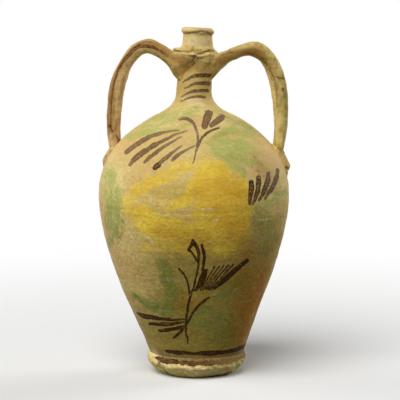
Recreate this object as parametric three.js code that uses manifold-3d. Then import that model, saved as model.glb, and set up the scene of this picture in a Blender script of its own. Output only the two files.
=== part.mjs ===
// Two-handled water jug in wheel-thrown earthenware, built from the pieces that a potter lutes together.
// Millimetres, +Z up, origin on the ground under the middle of the belly. The painted front faces -Y.
import * as THREE from "three";
import { mergeVertices } from "three/addons/utils/BufferGeometryUtils.js";
import Module from "manifold-3d";

const wasm = await Module();
wasm.setup();

// Driving dimensions of the silhouette
const HEIGHT = 420;
const HEEL = new THREE.Vector2(57, 26);
const SEAM = new THREE.Vector2(115, 204);
const SHOULDER = new THREE.Vector2(45, 316);
const NECK = new THREE.Vector2(21.3, 346);
const SPOUT = new THREE.Vector2(18.6, 397);

// How far each wall curve leans out from the vertical at those points, in degrees
const HEEL_LEAN = 22;
const SEAM_LEAN = 5.5;
const SHOULDER_LEAN = -65;

// Walls and the floor of the hollow, and the bore of the neck at its throat and at the spout
const WALL = 6.5;
const FLOOR_UNDERSIDE = 8;
const FLOOR_THICKNESS = 9;
const THROAT = { radius: 15, bottom: 338, top: 360 };
const BORE = { radius: 13, height: 402 };

// Clearance left in every luted joint
const JOINT_GAP = 0.3;

// Foot ring
const FOOT_RADIUS = 59.8;
const FOOT_CONTACT_OUTER = 38;
const FOOT_CONTACT_INNER = 29;
const HEEL_REST_RADIUS = 50;

// Tongue and groove where the two thrown halves of the body meet
const TONGUE_WIDTH = 2.4;
const TONGUE_HEIGHT = 3;

// Spigot of the neck in the hole of the shoulder
const HOLE_RADIUS = 25.5;
const FLANGE_RADIUS = 31;
const FLANGE_SEAT = 318;
const SPIGOT_LENGTH = 8;

// Rolled lip, and the groove under it
const LIP_CENTRE_RADIUS = 15.8;
const LIP_HALF_WIDTH = 3.8;
const LIP_HALF_HEIGHT = 4.4;
const LIP_START = -0.9;
const LIP_END = Math.PI * 0.95;
const LIP_GROOVE = new THREE.Vector2(17.3, 409.5);

// Clay collar that locks the handles round the neck
const COLLAR_BOTTOM = 384;
const COLLAR_SHELF = 388;
const COLLAR_TOP = 396;
const COLLAR_RADIUS = 27.6;
const COLLAR_TOP_RADIUS = 20.8;

// Half cup that each handle spreads round the neck, from its rim down to the feathered lower edge
const CUP_RADIUS = 29.2;
const CUP_FEATHER_RADIUS = 21;
const CUP_BACK_RADIUS = 14;
const CUP_TOP_SIDE = 390.5;
const CUP_TOP_SEAM = 386;
const CUP_BOTTOM_SIDE = 357;
const CUP_BOTTOM_SEAM = 371.5;
const CUP_SEAM_ANGLE = 88;

// Handles: matching points of the outer and the inner edge, as distance from the axis and height,
// running from inside the neck to inside the shoulder, and the strap's width at shares of that way
const HANDLES = {
  left: {
    direction: Math.PI,
    outer: [
      [2, 382], [22, 390], [31, 395.3], [41, 401.4], [56.7, 406.8], [77.2, 397.4],
      [93.2, 373.7], [102, 350], [106.2, 318], [105, 288], [100, 252],
    ],
    inner: [
      [2, 341], [20.5, 358], [30, 371.5], [42, 383], [56.7, 389.4], [68, 383],
      [77, 369.5], [83.5, 349], [88.3, 318], [89.7, 288], [89, 252],
    ],
    groove: 0.2,
  },
  right: {
    direction: 0,
    outer: [
      [2, 382], [22, 388], [36, 391.5], [48, 396.8], [70, 402.6], [83.5, 400],
      [98.2, 386.6], [108, 369], [113, 346], [114.3, 318], [112.5, 290], [104, 252],
    ],
    inner: [
      [2, 341], [21, 357], [32, 368.5], [43, 378], [60, 385.4], [71, 385],
      [81, 378.5], [88, 365.3], [93, 347], [97, 318], [97.3, 290], [93, 252],
    ],
    groove: 0,
  },
};
const STRAP_WIDTH = [[0, 36], [0.09, 40], [0.24, 27], [0.45, 24], [1, 22]];
const STRAP_ROUNDNESS = 0.8;
const HANDLE_SETBACK = THREE.MathUtils.degToRad(3.5);

// Finger groove down the front of a handle: where it lies round the section, and how far it spreads
const GROOVE_ANGLE = THREE.MathUtils.degToRad(292);
const GROOVE_SPREAD = 0.34;

// Wads of clay pressed over the root of each handle: where they start and end, width and height
const WADS = {
  left: { top: 279, bottom: 247, width: 25, height: 8.8 },
  right: { top: 280, bottom: 238, width: 27, height: 11 },
};
const WAD_BIAS = 0.45;
const WAD_THIN_END = 0.06;
const WAD_BLUNT_END = 0.3;

// The hand-made stance: the foot and the mouth stray to the right, and the mouth dips that way
const FOOT_SHIFT = 3.3;
const FOOT_SHIFT_SPAN = [35, 110];
const MOUTH_SHIFT = 4.5;
const MOUTH_SHIFT_SPAN = [340, 405];
const MOUTH_TILT = Math.tan(THREE.MathUtils.degToRad(3));

// Facets
const BODY_SEGMENTS = 48;
const NECK_SEGMENTS = 36;
const STRAP_STEPS = 33;
const STRAP_SIDES = 16;
const CUP_STEPS = 20;
const WAD_STEPS = 10;
const WAD_SIDES = 12;

const materials = {
  glaze: new THREE.MeshStandardMaterial({ color: 0xc2a668, roughness: 0.55, metalness: 0 }),
  handle: new THREE.MeshStandardMaterial({ color: 0xb39a52, roughness: 0.5, metalness: 0 }),
  bareClay: new THREE.MeshStandardMaterial({ color: 0xc9ad74, roughness: 0.8, metalness: 0 }),
};

// Curve of a wall between two points, each with its lean from the vertical and the reach of that direction
function wallCurve(from, fromLean, fromReach, to, toLean, toReach) {
  const along = (lean, reach) => {
    const angle = THREE.MathUtils.degToRad(lean);
    return new THREE.Vector2(Math.sin(angle), Math.cos(angle)).multiplyScalar(reach);
  };
  const leave = from.clone().add(along(fromLean, fromReach));
  const arrive = to.clone().sub(along(toLean, toReach));
  return new THREE.CubicBezierCurve(from, leave, arrive, to);
}

const bellyCurve = wallCurve(HEEL, HEEL_LEAN, 81, SEAM, SEAM_LEAN, 55);
const shoulderCurve = wallCurve(SEAM, SEAM_LEAN, 58, SHOULDER, SHOULDER_LEAN, 43);
const flareCurve = wallCurve(SHOULDER, SHOULDER_LEAN, 18.5, NECK, 0, 16);

// Share of the flare that belongs to the body: it ends where the neck's flange sits
function flareShareAtRadius(radius) {
  let low = 0;
  let high = 1;
  for (let turn = 0; turn < 40; turn += 1) {
    const middle = (low + high) / 2;
    if (flareCurve.getPoint(middle).x > radius) low = middle;
    else high = middle;
  }
  return low;
}
const flangeShare = flareShareAtRadius(FLANGE_RADIUS);

// Points of a curve between two of its parameters
function stretch(curve, from, to, steps) {
  return Array.from({ length: steps + 1 }, (_, i) => curve.getPoint(from + ((to - from) * i) / steps));
}

const point = (radius, height) => new THREE.Vector2(radius, height);

// Moves each point of an open outline sideways, to its left as it runs
function offsetOutline(points, distance) {
  return points.map((p, i) => {
    const before = points[Math.max(i - 1, 0)];
    const after = points[Math.min(i + 1, points.length - 1)];
    const direction = after.clone().sub(before).normalize();
    return point(Math.max(p.x - direction.y * distance, 0), p.y + direction.x * distance);
  });
}

// Gives a turned piece the stance of the hand-made jug
function settle(geometry) {
  const position = geometry.getAttribute("position");
  for (let i = 0; i < position.count; i += 1) {
    const x = position.getX(i);
    const z = position.getZ(i);
    const foot = 1 - THREE.MathUtils.smoothstep(z, ...FOOT_SHIFT_SPAN);
    const mouth = THREE.MathUtils.smoothstep(z, ...MOUTH_SHIFT_SPAN);
    position.setX(i, x + FOOT_SHIFT * foot + MOUTH_SHIFT * mouth);
    position.setZ(i, z - x * MOUTH_TILT * mouth);
  }
  return geometry;
}

// Solid of revolution of an outline of (radius, height) points that runs up the outside and down the inside
function turned(outline, segments) {
  const closed = outline[0].x === 0 ? outline : [...outline, outline[0]];
  const geometry = new THREE.LatheGeometry(closed, segments);
  geometry.rotateX(Math.PI / 2);
  return settle(geometry);
}

// Closed skin over a row of rings that all have the same number of points
function loft(rings) {
  const sides = rings[0].length;
  const middle = (ring) => ring.reduce((sum, p) => sum.add(p), new THREE.Vector3()).divideScalar(sides);
  const vertices = [...rings.flat(), middle(rings[0]), middle(rings[rings.length - 1])];
  const firstCap = rings.length * sides;
  const lastCap = firstCap + 1;
  const lastRing = (rings.length - 1) * sides;
  const index = [];
  for (let side = 0; side < sides; side += 1) {
    const next = (side + 1) % sides;
    for (let ring = 0; ring < rings.length - 1; ring += 1) {
      const here = ring * sides;
      const there = here + sides;
      index.push(here + side, there + next, here + next);
      index.push(here + side, there + side, there + next);
    }
    index.push(firstCap, side, next);
    index.push(lastCap, lastRing + next, lastRing + side);
  }
  const geometry = new THREE.BufferGeometry().setFromPoints(vertices);
  geometry.setIndex(index);
  return geometry;
}

function solidOf(geometry) {
  const bare = geometry.clone();
  bare.deleteAttribute("normal");
  bare.deleteAttribute("uv");
  const merged = mergeVertices(bare, 1e-3);
  const vertProperties = merged.getAttribute("position").array;
  const triVerts = new Uint32Array(merged.index.array);
  return new wasm.Manifold(new wasm.Mesh({ numProp: 3, vertProperties, triVerts }));
}

function geometryOf(solid) {
  const { vertProperties, triVerts } = solid.getMesh();
  const geometry = new THREE.BufferGeometry();
  geometry.setAttribute("position", new THREE.BufferAttribute(vertProperties, 3));
  geometry.setIndex(new THREE.BufferAttribute(triVerts, 1));
  geometry.computeVertexNormals();
  return geometry;
}

// Value at a share of the way through [share, value] knots
function valueAt(knots, share) {
  const next = knots.findIndex(([knot]) => knot >= share);
  if (next <= 0) return knots[0][1];
  const [fromShare, from] = knots[next - 1];
  const [toShare, to] = knots[next];
  return THREE.MathUtils.lerp(from, to, THREE.MathUtils.smoothstep(share, fromShare, toShare));
}

// Lower half of the body: floor, belly and the tongue on its rim
function lowerBody() {
  const outside = stretch(bellyCurve, 0, 1, 12);
  const inside = offsetOutline(stretch(bellyCurve, 0.06, 1, 8), WALL).reverse();
  const rim = SEAM.y;
  const tongueMiddle = SEAM.x - WALL / 2;
  const floorTop = FLOOR_UNDERSIDE + FLOOR_THICKNESS;
  inside[0].set(SEAM.x - WALL, rim);
  return turned(
    [
      point(0, FLOOR_UNDERSIDE),
      point(HEEL_REST_RADIUS - 3, FLOOR_UNDERSIDE),
      point(HEEL_REST_RADIUS, FLOOR_UNDERSIDE + 2),
      ...outside,
      point(tongueMiddle + TONGUE_WIDTH / 2, rim),
      point(tongueMiddle + TONGUE_WIDTH / 2 - 0.4, rim + TONGUE_HEIGHT),
      point(tongueMiddle - TONGUE_WIDTH / 2 + 0.4, rim + TONGUE_HEIGHT),
      point(tongueMiddle - TONGUE_WIDTH / 2, rim),
      ...inside,
      point(HEEL_REST_RADIUS - 9, floorTop + 3),
      point(HEEL_REST_RADIUS - 16, floorTop),
      point(0, floorTop),
    ],
    BODY_SEGMENTS,
  );
}

// Upper half of the body: shoulder, the groove on its rim and the stepped hole for the neck
function upperBody() {
  const rim = SEAM.y + JOINT_GAP;
  const outside = stretch(shoulderCurve, 0, 1, 12);
  const flare = stretch(flareCurve, 0, flangeShare, 2).slice(1);
  const inside = offsetOutline(stretch(shoulderCurve, 0, 1, 8), WALL).reverse();
  const grooveMiddle = SEAM.x - WALL / 2;
  const grooveHalf = TONGUE_WIDTH / 2 + JOINT_GAP;
  outside[0].y = rim;
  inside[inside.length - 1].set(SEAM.x - WALL, rim);
  const vault = inside[0];
  return turned(
    [
      ...outside,
      ...flare,
      point(FLANGE_RADIUS, FLANGE_SEAT),
      point(HOLE_RADIUS, FLANGE_SEAT),
      point(HOLE_RADIUS, vault.y + 1),
      ...inside,
      point(grooveMiddle - grooveHalf, rim),
      point(grooveMiddle - grooveHalf + 0.4, rim + TONGUE_HEIGHT),
      point(grooveMiddle + grooveHalf - 0.4, rim + TONGUE_HEIGHT),
      point(grooveMiddle + grooveHalf, rim),
    ],
    BODY_SEGMENTS,
  );
}

// Outside of the neck from its flange to the underside of the lip
function neckOutside() {
  const flare = stretch(flareCurve, flangeShare, 1, 5);
  flare[0].x = FLANGE_RADIUS - JOINT_GAP;
  return [...flare, SPOUT, LIP_GROOVE];
}

// Neck: flange and spigot below, tapering tube, rolled lip above
function neck() {
  const lip = new THREE.EllipseCurve(
    LIP_CENTRE_RADIUS, HEIGHT - LIP_HALF_HEIGHT, LIP_HALF_WIDTH, LIP_HALF_HEIGHT, LIP_START, LIP_END,
  ).getPoints(9);
  const seat = FLANGE_SEAT + JOINT_GAP;
  const spigotRadius = HOLE_RADIUS - JOINT_GAP;
  return turned(
    [
      point(FLANGE_RADIUS - JOINT_GAP, seat),
      ...neckOutside(),
      ...lip,
      point(BORE.radius, BORE.height),
      point(THROAT.radius, THROAT.top),
      point(THROAT.radius, THROAT.bottom),
      point(spigotRadius - 4.5, seat - SPIGOT_LENGTH + 3),
      point(spigotRadius - 3, seat - SPIGOT_LENGTH),
      point(spigotRadius, seat - SPIGOT_LENGTH),
      point(spigotRadius, seat),
    ],
    NECK_SEGMENTS,
  );
}

// Foot ring: a coil that cups the heel, turns in below and carries the jug on a flat contact band
function footRing() {
  const coil = new THREE.SplineCurve([
    point(HEEL.x + JOINT_GAP, HEEL.y + 0.5),
    point(HEEL.x + 2.2, HEEL.y - 3),
    point(FOOT_RADIUS, 17.5),
    point(FOOT_RADIUS - 3.6, 10.2),
    point(FOOT_RADIUS - 10.6, 3.4),
    point(FOOT_CONTACT_OUTER, 0),
  ]).getPoints(10);
  return turned(
    [
      ...coil.reverse(),
      point(HEEL_REST_RADIUS + JOINT_GAP + 0.1, FLOOR_UNDERSIDE + 2),
      point(HEEL_REST_RADIUS - 3, FLOOR_UNDERSIDE - JOINT_GAP),
      point(FOOT_CONTACT_INNER + 1, FLOOR_UNDERSIDE - JOINT_GAP),
      point(FOOT_CONTACT_INNER, 0),
    ],
    BODY_SEGMENTS,
  );
}

// Radius of the neck's straight taper between its flare and the spout
function neckRadiusAt(z) {
  return THREE.MathUtils.mapLinear(z, NECK.y, SPOUT.y, NECK.x, SPOUT.x);
}

// Collar: a wedge of clay pressed into the cup that the handles make round the spout
function collarOutline(gap) {
  const inside = (z) => neckRadiusAt(z) + JOINT_GAP - gap;
  const edge = COLLAR_RADIUS + gap;
  return [
    point(inside(COLLAR_BOTTOM), COLLAR_BOTTOM - gap),
    point(edge - 1.2, COLLAR_BOTTOM + 1.2 - gap),
    point(edge, COLLAR_SHELF),
    point(edge - 3, COLLAR_SHELF + 3.4 + gap),
    point(COLLAR_TOP_RADIUS + gap, COLLAR_TOP + gap),
    point(inside(COLLAR_TOP), COLLAR_TOP + gap),
  ];
}

// What the handles and wads must stay clear of: the outside of the body and of the neck, one joint gap out
function bodyClearance() {
  const outside = [...stretch(bellyCurve, 0, 1, 12), ...stretch(shoulderCurve, 0, 1, 12).slice(1)];
  const flare = stretch(flareCurve, 0, flangeShare, 2).slice(1);
  const grown = offsetOutline([...outside, ...flare], -JOINT_GAP);
  return solidOf(turned([point(0, HEEL.y), ...grown, point(0, grown[grown.length - 1].y)], BODY_SEGMENTS));
}

function neckClearance() {
  const grown = offsetOutline(neckOutside(), -JOINT_GAP);
  const top = grown[grown.length - 1];
  return solidOf(turned([point(0, grown[0].y), ...grown, point(0, top.y)], NECK_SEGMENTS));
}

// Half cup round the neck, lofted from one seam round the side to the other
function cup(direction) {
  const rings = Array.from({ length: CUP_STEPS + 1 }, (_, i) => {
    const turn = THREE.MathUtils.degToRad(CUP_SEAM_ANGLE) * ((2 * i) / CUP_STEPS - 1);
    const towardsSide = Math.cos(turn);
    const top = THREE.MathUtils.lerp(CUP_TOP_SEAM, CUP_TOP_SIDE, towardsSide);
    const bottom = THREE.MathUtils.lerp(CUP_BOTTOM_SEAM, CUP_BOTTOM_SIDE, towardsSide);
    const drop = top - bottom;
    const section = [
      point(CUP_BACK_RADIUS, bottom),
      point(CUP_FEATHER_RADIUS, bottom),
      point(CUP_FEATHER_RADIUS + 1.6, bottom + 0.8),
      point(CUP_RADIUS - 4.6, top - drop * 0.74),
      point(CUP_RADIUS - 1.4, top - drop * 0.42),
      point(CUP_RADIUS, top - 2.4),
      point(CUP_RADIUS - 2, top),
      point(CUP_BACK_RADIUS, top - 1),
    ];
    return section.map(
      (p) => new THREE.Vector3(p.x * Math.cos(direction + turn), p.x * Math.sin(direction + turn), p.y),
    );
  });
  return solidOf(settle(loft(rings)));
}

// Oval section of a handle, in shares of half its thickness and half its width, with a finger groove in front
function strapSection(groove) {
  const flatten = (value) => Math.sign(value) * Math.abs(value) ** STRAP_ROUNDNESS;
  return Array.from({ length: STRAP_SIDES }, (_, i) => {
    const angle = (i / STRAP_SIDES) * Math.PI * 2;
    const dent = 1 - groove * Math.exp(-(((angle - GROOVE_ANGLE) / GROOVE_SPREAD) ** 2));
    return point(flatten(Math.cos(angle)) * dent, flatten(Math.sin(angle)) * dent);
  });
}

// Handle strap, lofted between its outer and inner edge from the neck to the shoulder
function strap({ direction, outer, inner, groove }) {
  const outward = Math.cos(direction);
  const place = ([out, up]) => new THREE.Vector3(out * outward, 0, up);
  const edge = (points) => new THREE.CatmullRomCurve3(points.map(place));
  const outerEdge = edge(outer);
  const innerEdge = edge(inner);
  const section = strapSection(groove);
  const rings = Array.from({ length: STRAP_STEPS + 1 }, (_, i) => {
    const share = i / STRAP_STEPS;
    const top = outerEdge.getPoint(share);
    const centre = innerEdge.getPoint(share).lerp(top, 0.5);
    const halfThickness = top.sub(centre);
    const halfWidth = new THREE.Vector3(0, valueAt(STRAP_WIDTH, share) / 2, 0);
    const onRing = (p) => centre.clone().addScaledVector(halfThickness, p.x).addScaledVector(halfWidth, p.y);
    const ring = section.map(onRing);
    return outward > 0 ? ring : ring.reverse();
  });
  return solidOf(loft(rings).rotateZ(HANDLE_SETBACK * outward));
}

// Point of the shoulder's outside at a height
function shoulderAt(z) {
  const outside = stretch(shoulderCurve, 0, 1, 60);
  const next = outside.findIndex((p) => p.y >= z);
  const below = outside[next - 1];
  const above = outside[next];
  return below.clone().lerp(above, (z - below.y) / (above.y - below.y));
}

// Wad of clay over the root of a handle: a tongue, thickest near its top, that feathers out down the shoulder
function wad(side, gap) {
  const { top, bottom, width, height } = WADS[side];
  const outward = Math.cos(HANDLES[side].direction);
  const rings = Array.from({ length: WAD_STEPS + 1 }, (_, i) => {
    const share = (1 - Math.cos((i / WAD_STEPS) * Math.PI)) / 2;
    const z = THREE.MathUtils.lerp(top + gap, bottom - gap, share);
    const surface = shoulderAt(z);
    const slope = shoulderAt(z - 1).sub(surface).normalize();
    const thick = Math.max(Math.sin(Math.PI * share ** WAD_BIAS), WAD_THIN_END);
    const broad = Math.max(Math.sqrt(1 - (2 * share - 1) ** 4), WAD_BLUNT_END);
    return Array.from({ length: WAD_SIDES }, (_unused, j) => {
      const angle = (j / WAD_SIDES) * Math.PI * 2;
      const rise = (height * thick + gap) * Math.cos(angle);
      const across = ((width / 2) * broad + gap) * Math.sin(angle);
      return new THREE.Vector3(
        (surface.x - slope.y * rise) * outward,
        across * outward,
        surface.y + slope.x * rise,
      );
    });
  });
  return solidOf(loft(rings).rotateZ(HANDLE_SETBACK * outward));
}

const body = bodyClearance();
const tube = neckClearance();
const collarSeat = solidOf(turned(collarOutline(JOINT_GAP), NECK_SEGMENTS));

// The largest of the bodies that a cut leaves, without the slivers
function mainBody(solid) {
  return solid.decompose().reduce((largest, other) => (other.volume() > largest.volume() ? other : largest));
}

function handle(side) {
  const joined = strap(HANDLES[side]).add(cup(HANDLES[side].direction));
  const neighbours = tube.add(collarSeat).add(body).add(wad(side, JOINT_GAP));
  return mainBody(joined.subtract(neighbours));
}

function piece(name, geometry, material) {
  const mesh = new THREE.Mesh(geometry, material);
  mesh.name = name;
  return mesh;
}

const jug = new THREE.Group();
jug.name = "water_jug";
jug.add(piece("foot_ring", footRing(), materials.bareClay));
jug.add(piece("lower_body", lowerBody(), materials.glaze));
jug.add(piece("upper_body", upperBody(), materials.glaze));
jug.add(piece("neck", neck(), materials.glaze));
jug.add(piece("collar", turned(collarOutline(0), NECK_SEGMENTS), materials.handle));
for (const side of Object.keys(HANDLES)) {
  jug.add(piece(`${side}_handle`, geometryOf(handle(side)), materials.handle));
  jug.add(piece(`${side}_root_wad`, geometryOf(wad(side, 0).subtract(body)), materials.handle));
}

export default jug;
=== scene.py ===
"""Looks of the two-handled water jug: fine meshes of its pieces, painted glaze, light and camera."""
import itertools
import math

import bmesh
import bpy
import numpy as np
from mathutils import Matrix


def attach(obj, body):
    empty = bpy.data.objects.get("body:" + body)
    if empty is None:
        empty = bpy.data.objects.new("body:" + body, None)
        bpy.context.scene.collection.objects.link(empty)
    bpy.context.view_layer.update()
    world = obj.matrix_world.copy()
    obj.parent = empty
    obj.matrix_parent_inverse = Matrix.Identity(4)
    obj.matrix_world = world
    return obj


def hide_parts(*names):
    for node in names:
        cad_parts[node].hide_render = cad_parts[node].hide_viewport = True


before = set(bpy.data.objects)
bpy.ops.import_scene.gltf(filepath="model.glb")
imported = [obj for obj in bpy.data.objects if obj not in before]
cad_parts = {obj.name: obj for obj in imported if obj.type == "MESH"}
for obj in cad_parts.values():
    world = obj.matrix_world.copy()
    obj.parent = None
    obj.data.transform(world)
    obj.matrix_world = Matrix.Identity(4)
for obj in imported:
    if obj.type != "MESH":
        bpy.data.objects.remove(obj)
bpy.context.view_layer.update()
MM = 0.001

# Driving dimensions of the pieces, in millimetres: the part's own, finer where the surface needs it
HEIGHT = 420
HEEL = (57, 26)
SEAM = (115, 204)
SHOULDER = (45, 316)
NECK = (21.3, 346)
SPOUT = (18.6, 397)
HEEL_LEAN = 22
SEAM_LEAN = 5.5
SHOULDER_LEAN = -65
BELLY_REACHES = (81, 55)
SHOULDER_REACHES = (58, 43)
FLARE_REACHES = (18.5, 16)
WALL = 6.5
FLOOR_UNDERSIDE = 8
FLOOR_TOP = 17
BOWL_RADIUS = 34
BOWL_BEVEL = (7, 3)
THROAT_RADIUS = 15
THROAT_SPAN = (338, 360)
BORE = (13, 402)
JOINT_GAP = 0.3
FOOT_RADIUS = 59.8
FOOT_CONTACT = (29, 38)
HEEL_REST_RADIUS = 50
HEEL_BEVEL = (3, 2)
TONGUE_WIDTH = 2.4
TONGUE_HEIGHT = 3
TONGUE_TAPER = 0.4
HOLE_RADIUS = 25.5
FLANGE_RADIUS = 31
FLANGE_SEAT = 318
SPIGOT_LENGTH = 8
SPIGOT_WALL = 3
SPIGOT_BEVEL = (1.5, 3)
LIP_CREST_RADIUS = 14.2
LIP_OUTER_REACH = 5.4
LIP_INNER_REACH = 1.6
LIP_HALF_HEIGHT = 4.4
LIP_TURN = (-0.9, math.pi * 0.95)
LIP_GROOVE = (17.3, 409.5)
COLLAR_BOTTOM = 384
COLLAR_SHELF = 388
COLLAR_TOP = 396
COLLAR_RADIUS = 27.6
COLLAR_TOP_RADIUS = 20.8
COLLAR_FLATTENING = 2.6
COLLAR_LEDGE = {"rise": 4, "left": (12, 19), "soft": 1.5, "depth": 6}
CUP_RADIUS = 29.2
CUP_FRONT_RADIUS = 23.4
CUP_FEATHER_RADIUS = 21
CUP_BACK_RADIUS = 14
CUP_TOP_SIDE = 390.5
CUP_TOP_SEAM = 386
CUP_BOTTOM_SIDE = 357
CUP_BOTTOM_SEAM = 371.5
CUP_SEAM_ANGLE = math.radians(94)
CUP_MIDDLE = 2.25
CUP_EDGE = {
    "peak": 372, "slope": 0.5, "feather": (-2, 15), "reach": (32, 21), "heights": (330, 345), "sunk": 0.6,
}
HANDLES = {
    "left": {
        "outward": -1,
        "outer": [
            (2, 382), (22, 390), (31, 395.3), (41, 401.4), (56.7, 406.8), (77.2, 397.4),
            (93.2, 373.7), (102, 350), (106.2, 318), (105, 288), (100, 252),
        ],
        "inner": [
            (2, 341), (20.5, 358), (30, 371.5), (42, 383), (56.7, 389.4), (68, 383),
            (77, 369.5), (83.5, 349), (88.3, 318), (89.7, 288), (89, 252),
        ],
        "groove": 0.24,
    },
    "right": {
        "outward": 1,
        "outer": [
            (2, 382), (22, 388), (36, 391.5), (48, 396.8), (70, 402.6), (83.5, 400),
            (98.2, 386.6), (108, 369), (113, 346), (114.3, 318), (112.5, 290), (104, 252),
        ],
        "inner": [
            (2, 341), (21, 357), (32, 368.5), (43, 378), (60, 385.4), (71, 385),
            (81, 378.5), (88, 365.3), (93, 347), (97, 318), (97.3, 290), (93, 252),
        ],
        "groove": 0,
    },
}
STRAP_WIDTH = [(0, 36), (0.09, 40), (0.24, 27), (0.45, 24), (1, 22)]
STRAP_ROUNDNESS = [(0, 0.6), (0.1, 0.62), (0.26, 0.8), (1, 0.8)]
HANDLE_SETBACK = math.radians(3.5)
GROOVE_ANGLE = math.radians(292)
GROOVE_SPREAD = 0.22
WADS = {
    "left": {"top": 279, "bottom": 249, "width": 25, "height": 6},
    "right": {"top": 280, "bottom": 238, "width": 27, "height": 9.4},
}
WAD_SWELL = [(0, 0.06), (0.2, 0.95), (0.45, 0.86), (0.72, 0.86), (0.85, 0.36), (0.93, 0.1), (1, 0.06)]
WAD_BLUNT_END = 0.3
FOOT_SHIFT = 3.3
FOOT_SHIFT_SPAN = (35, 110)
MOUTH_SHIFT = 4.5
MOUTH_SHIFT_SPAN = (340, 405)
MOUTH_TILT = math.tan(math.radians(3))

# Fineness of the meshes, in millimetres or in steps round a ring or between knots
RING_STEP = 1.3
NECK_FINENESS = 0.7
BORE_STEP = 3
FOOT_RING_STEP = 0.9
COLLAR_RING_STEP = 0.8
LIP_POINTS = 26
BODY_SEGMENTS = 560
NECK_SEGMENTS = 200
CUTTER_SEGMENTS = 180
CUTTER_STRIDE = 8
WALL_POINTS = 240
BOWL_START = 14
INSIDE_STEP = 12
STRAP_STEPS = 12
CUP_STEPS = 6
CLAY_VOXEL = 0.9
CLAY_SMOOTHING = {"factor": 0.5, "iterations": 6}
EDGE_ROUNDS = 10
CUP_BLEND_ROUNDS = 50
CUP_BLEND_REACH = (56, 40)

# The photograph's camera: focal length and frame in pixels, and the eye in millimetres
FOCAL_PIXELS = 1700
FRAME_PIXELS = 400
EYE_TILT = math.radians(6.044)
EYE = np.array((7.3, -2059, 429))
SENSOR_WIDTH = 36


# Small helpers

def smoothstep(value, start, end):
    share = np.clip((value - start) / (end - start), 0, 1)
    return share * share * (3 - 2 * share)


def columns(*values):
    return np.stack(values, axis=1)


CELL_PRIMES = (73856093, 19349663, 83492791)
SEED_PRIME = 49979687
MIXING_PRIME = 1274126177
NOISE_ORIGIN = 1000


def lattice(cells, seed):
    """Repeatable values from 0 to 1 at whole-number places."""
    x, y, z = (axis * prime for axis, prime in zip(np.moveaxis(cells.astype(np.int64), -1, 0), CELL_PRIMES))
    mixed = x ^ y ^ z ^ (seed * SEED_PRIME)
    mixed = (mixed ^ (mixed >> 13)) * MIXING_PRIME
    return ((mixed ^ (mixed >> 16)) & 0xFFFF) / 0xFFFF


def noise(points, size, seed):
    """Smooth random values from -1 to 1 in lumps of about the given size, which may differ per axis."""
    scaled = points / np.asarray(size, float) + NOISE_ORIGIN
    cell = np.floor(scaled)
    share = smoothstep(scaled - cell, 0, 1)
    total = np.zeros(len(points))
    for corner in itertools.product((0, 1), repeat=3):
        weight = np.prod(np.where(corner, share, 1 - share), axis=1)
        total += weight * lattice(cell + corner, seed)
    return total * 2 - 1


def wobble(points, reach, size, seed):
    """Smooth random shifts of up to the given reach in two directions."""
    return reach * columns(noise(points, size, seed), noise(points, size, seed + 1))


def hump(distance):
    """Bell curve that is 1 in the middle and has all but died away by a distance of 2."""
    return np.exp(-(distance**2))


def curve_through(knots, steps=10):
    """Smooth curve through knots that may hold any number of values."""
    knots = np.array(knots, float)
    first = 2 * knots[0] - knots[1]
    last = 2 * knots[-1] - knots[-2]
    padded = np.vstack([first, knots, last])
    t = np.linspace(0, 1, steps, endpoint=False)[:, None]
    parts = []
    for a, b, c, d in zip(padded, padded[1:], padded[2:], padded[3:]):
        bend = (2 * a - 5 * b + 4 * c - d) * t**2 + (3 * b - a - 3 * c + d) * t**3
        parts.append((2 * b + (c - a) * t + bend) / 2)
    return np.vstack([*parts, knots[-1:]])


def respaced(points, step):
    """The same open line with points at even distances."""
    points = np.array(points, float)
    run = np.concatenate([[0], np.cumsum(np.linalg.norm(np.diff(points, axis=0), axis=1))])
    count = max(int(round(run[-1] / step)), 1) + 1
    places = np.linspace(0, run[-1], count)
    return columns(*(np.interp(places, run, column) for column in points.T))


def outward(points):
    """Directions at right angles to a line of (radius, height) points, to its right as it runs."""
    if len(points) < 2:
        return np.zeros_like(points)
    along = np.gradient(points, axis=0)
    along /= np.linalg.norm(along, axis=1, keepdims=True)
    return columns(along[:, 1], -along[:, 0])


def settle(points):
    """Gives turned points the stance of the hand-made jug."""
    x, z = points[..., 0], points[..., 2]
    foot = 1 - smoothstep(z, *FOOT_SHIFT_SPAN)
    mouth = smoothstep(z, *MOUTH_SHIFT_SPAN)
    moved = points.copy()
    moved[..., 0] += FOOT_SHIFT * foot + MOUTH_SHIFT * mouth
    moved[..., 2] -= x * MOUTH_TILT * mouth
    return moved


def spun(points, angle):
    """Points turned about the jug's axis."""
    cos, sin = math.cos(angle), math.sin(angle)
    turn = np.array([[cos, sin, 0], [-sin, cos, 0], [0, 0, 1]])
    return (points.reshape(-1, 3) @ turn).reshape(points.shape)


# Meshes

def added(name, data):
    """New object in the scene."""
    thing = bpy.data.objects.new(name, data)
    bpy.context.scene.collection.objects.link(thing)
    return thing


def new_object(name, points, quads, triangles=()):
    """Mesh object from points in millimetres."""
    quads = np.asarray(quads, np.int32).reshape(-1, 4)
    triangles = np.asarray(triangles, np.int32).reshape(-1, 3)
    corners = np.concatenate([quads.ravel(), triangles.ravel()])
    quad_starts = np.arange(len(quads)) * 4
    starts = np.concatenate([quad_starts, quads.size + np.arange(len(triangles)) * 3])
    mesh = bpy.data.meshes.new(name)
    mesh.vertices.add(len(points))
    mesh.vertices.foreach_set("co", (points * MM).ravel())
    mesh.loops.add(len(corners))
    mesh.loops.foreach_set("vertex_index", corners)
    mesh.polygons.add(len(starts))
    mesh.polygons.foreach_set("loop_start", starts.astype(np.int32))
    mesh.update(calc_edges=True)
    mesh.validate()
    return added(name, mesh)


def points_of(piece):
    points = np.empty(len(piece.data.vertices) * 3)
    piece.data.vertices.foreach_get("co", points)
    return points.reshape(-1, 3) / MM


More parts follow.
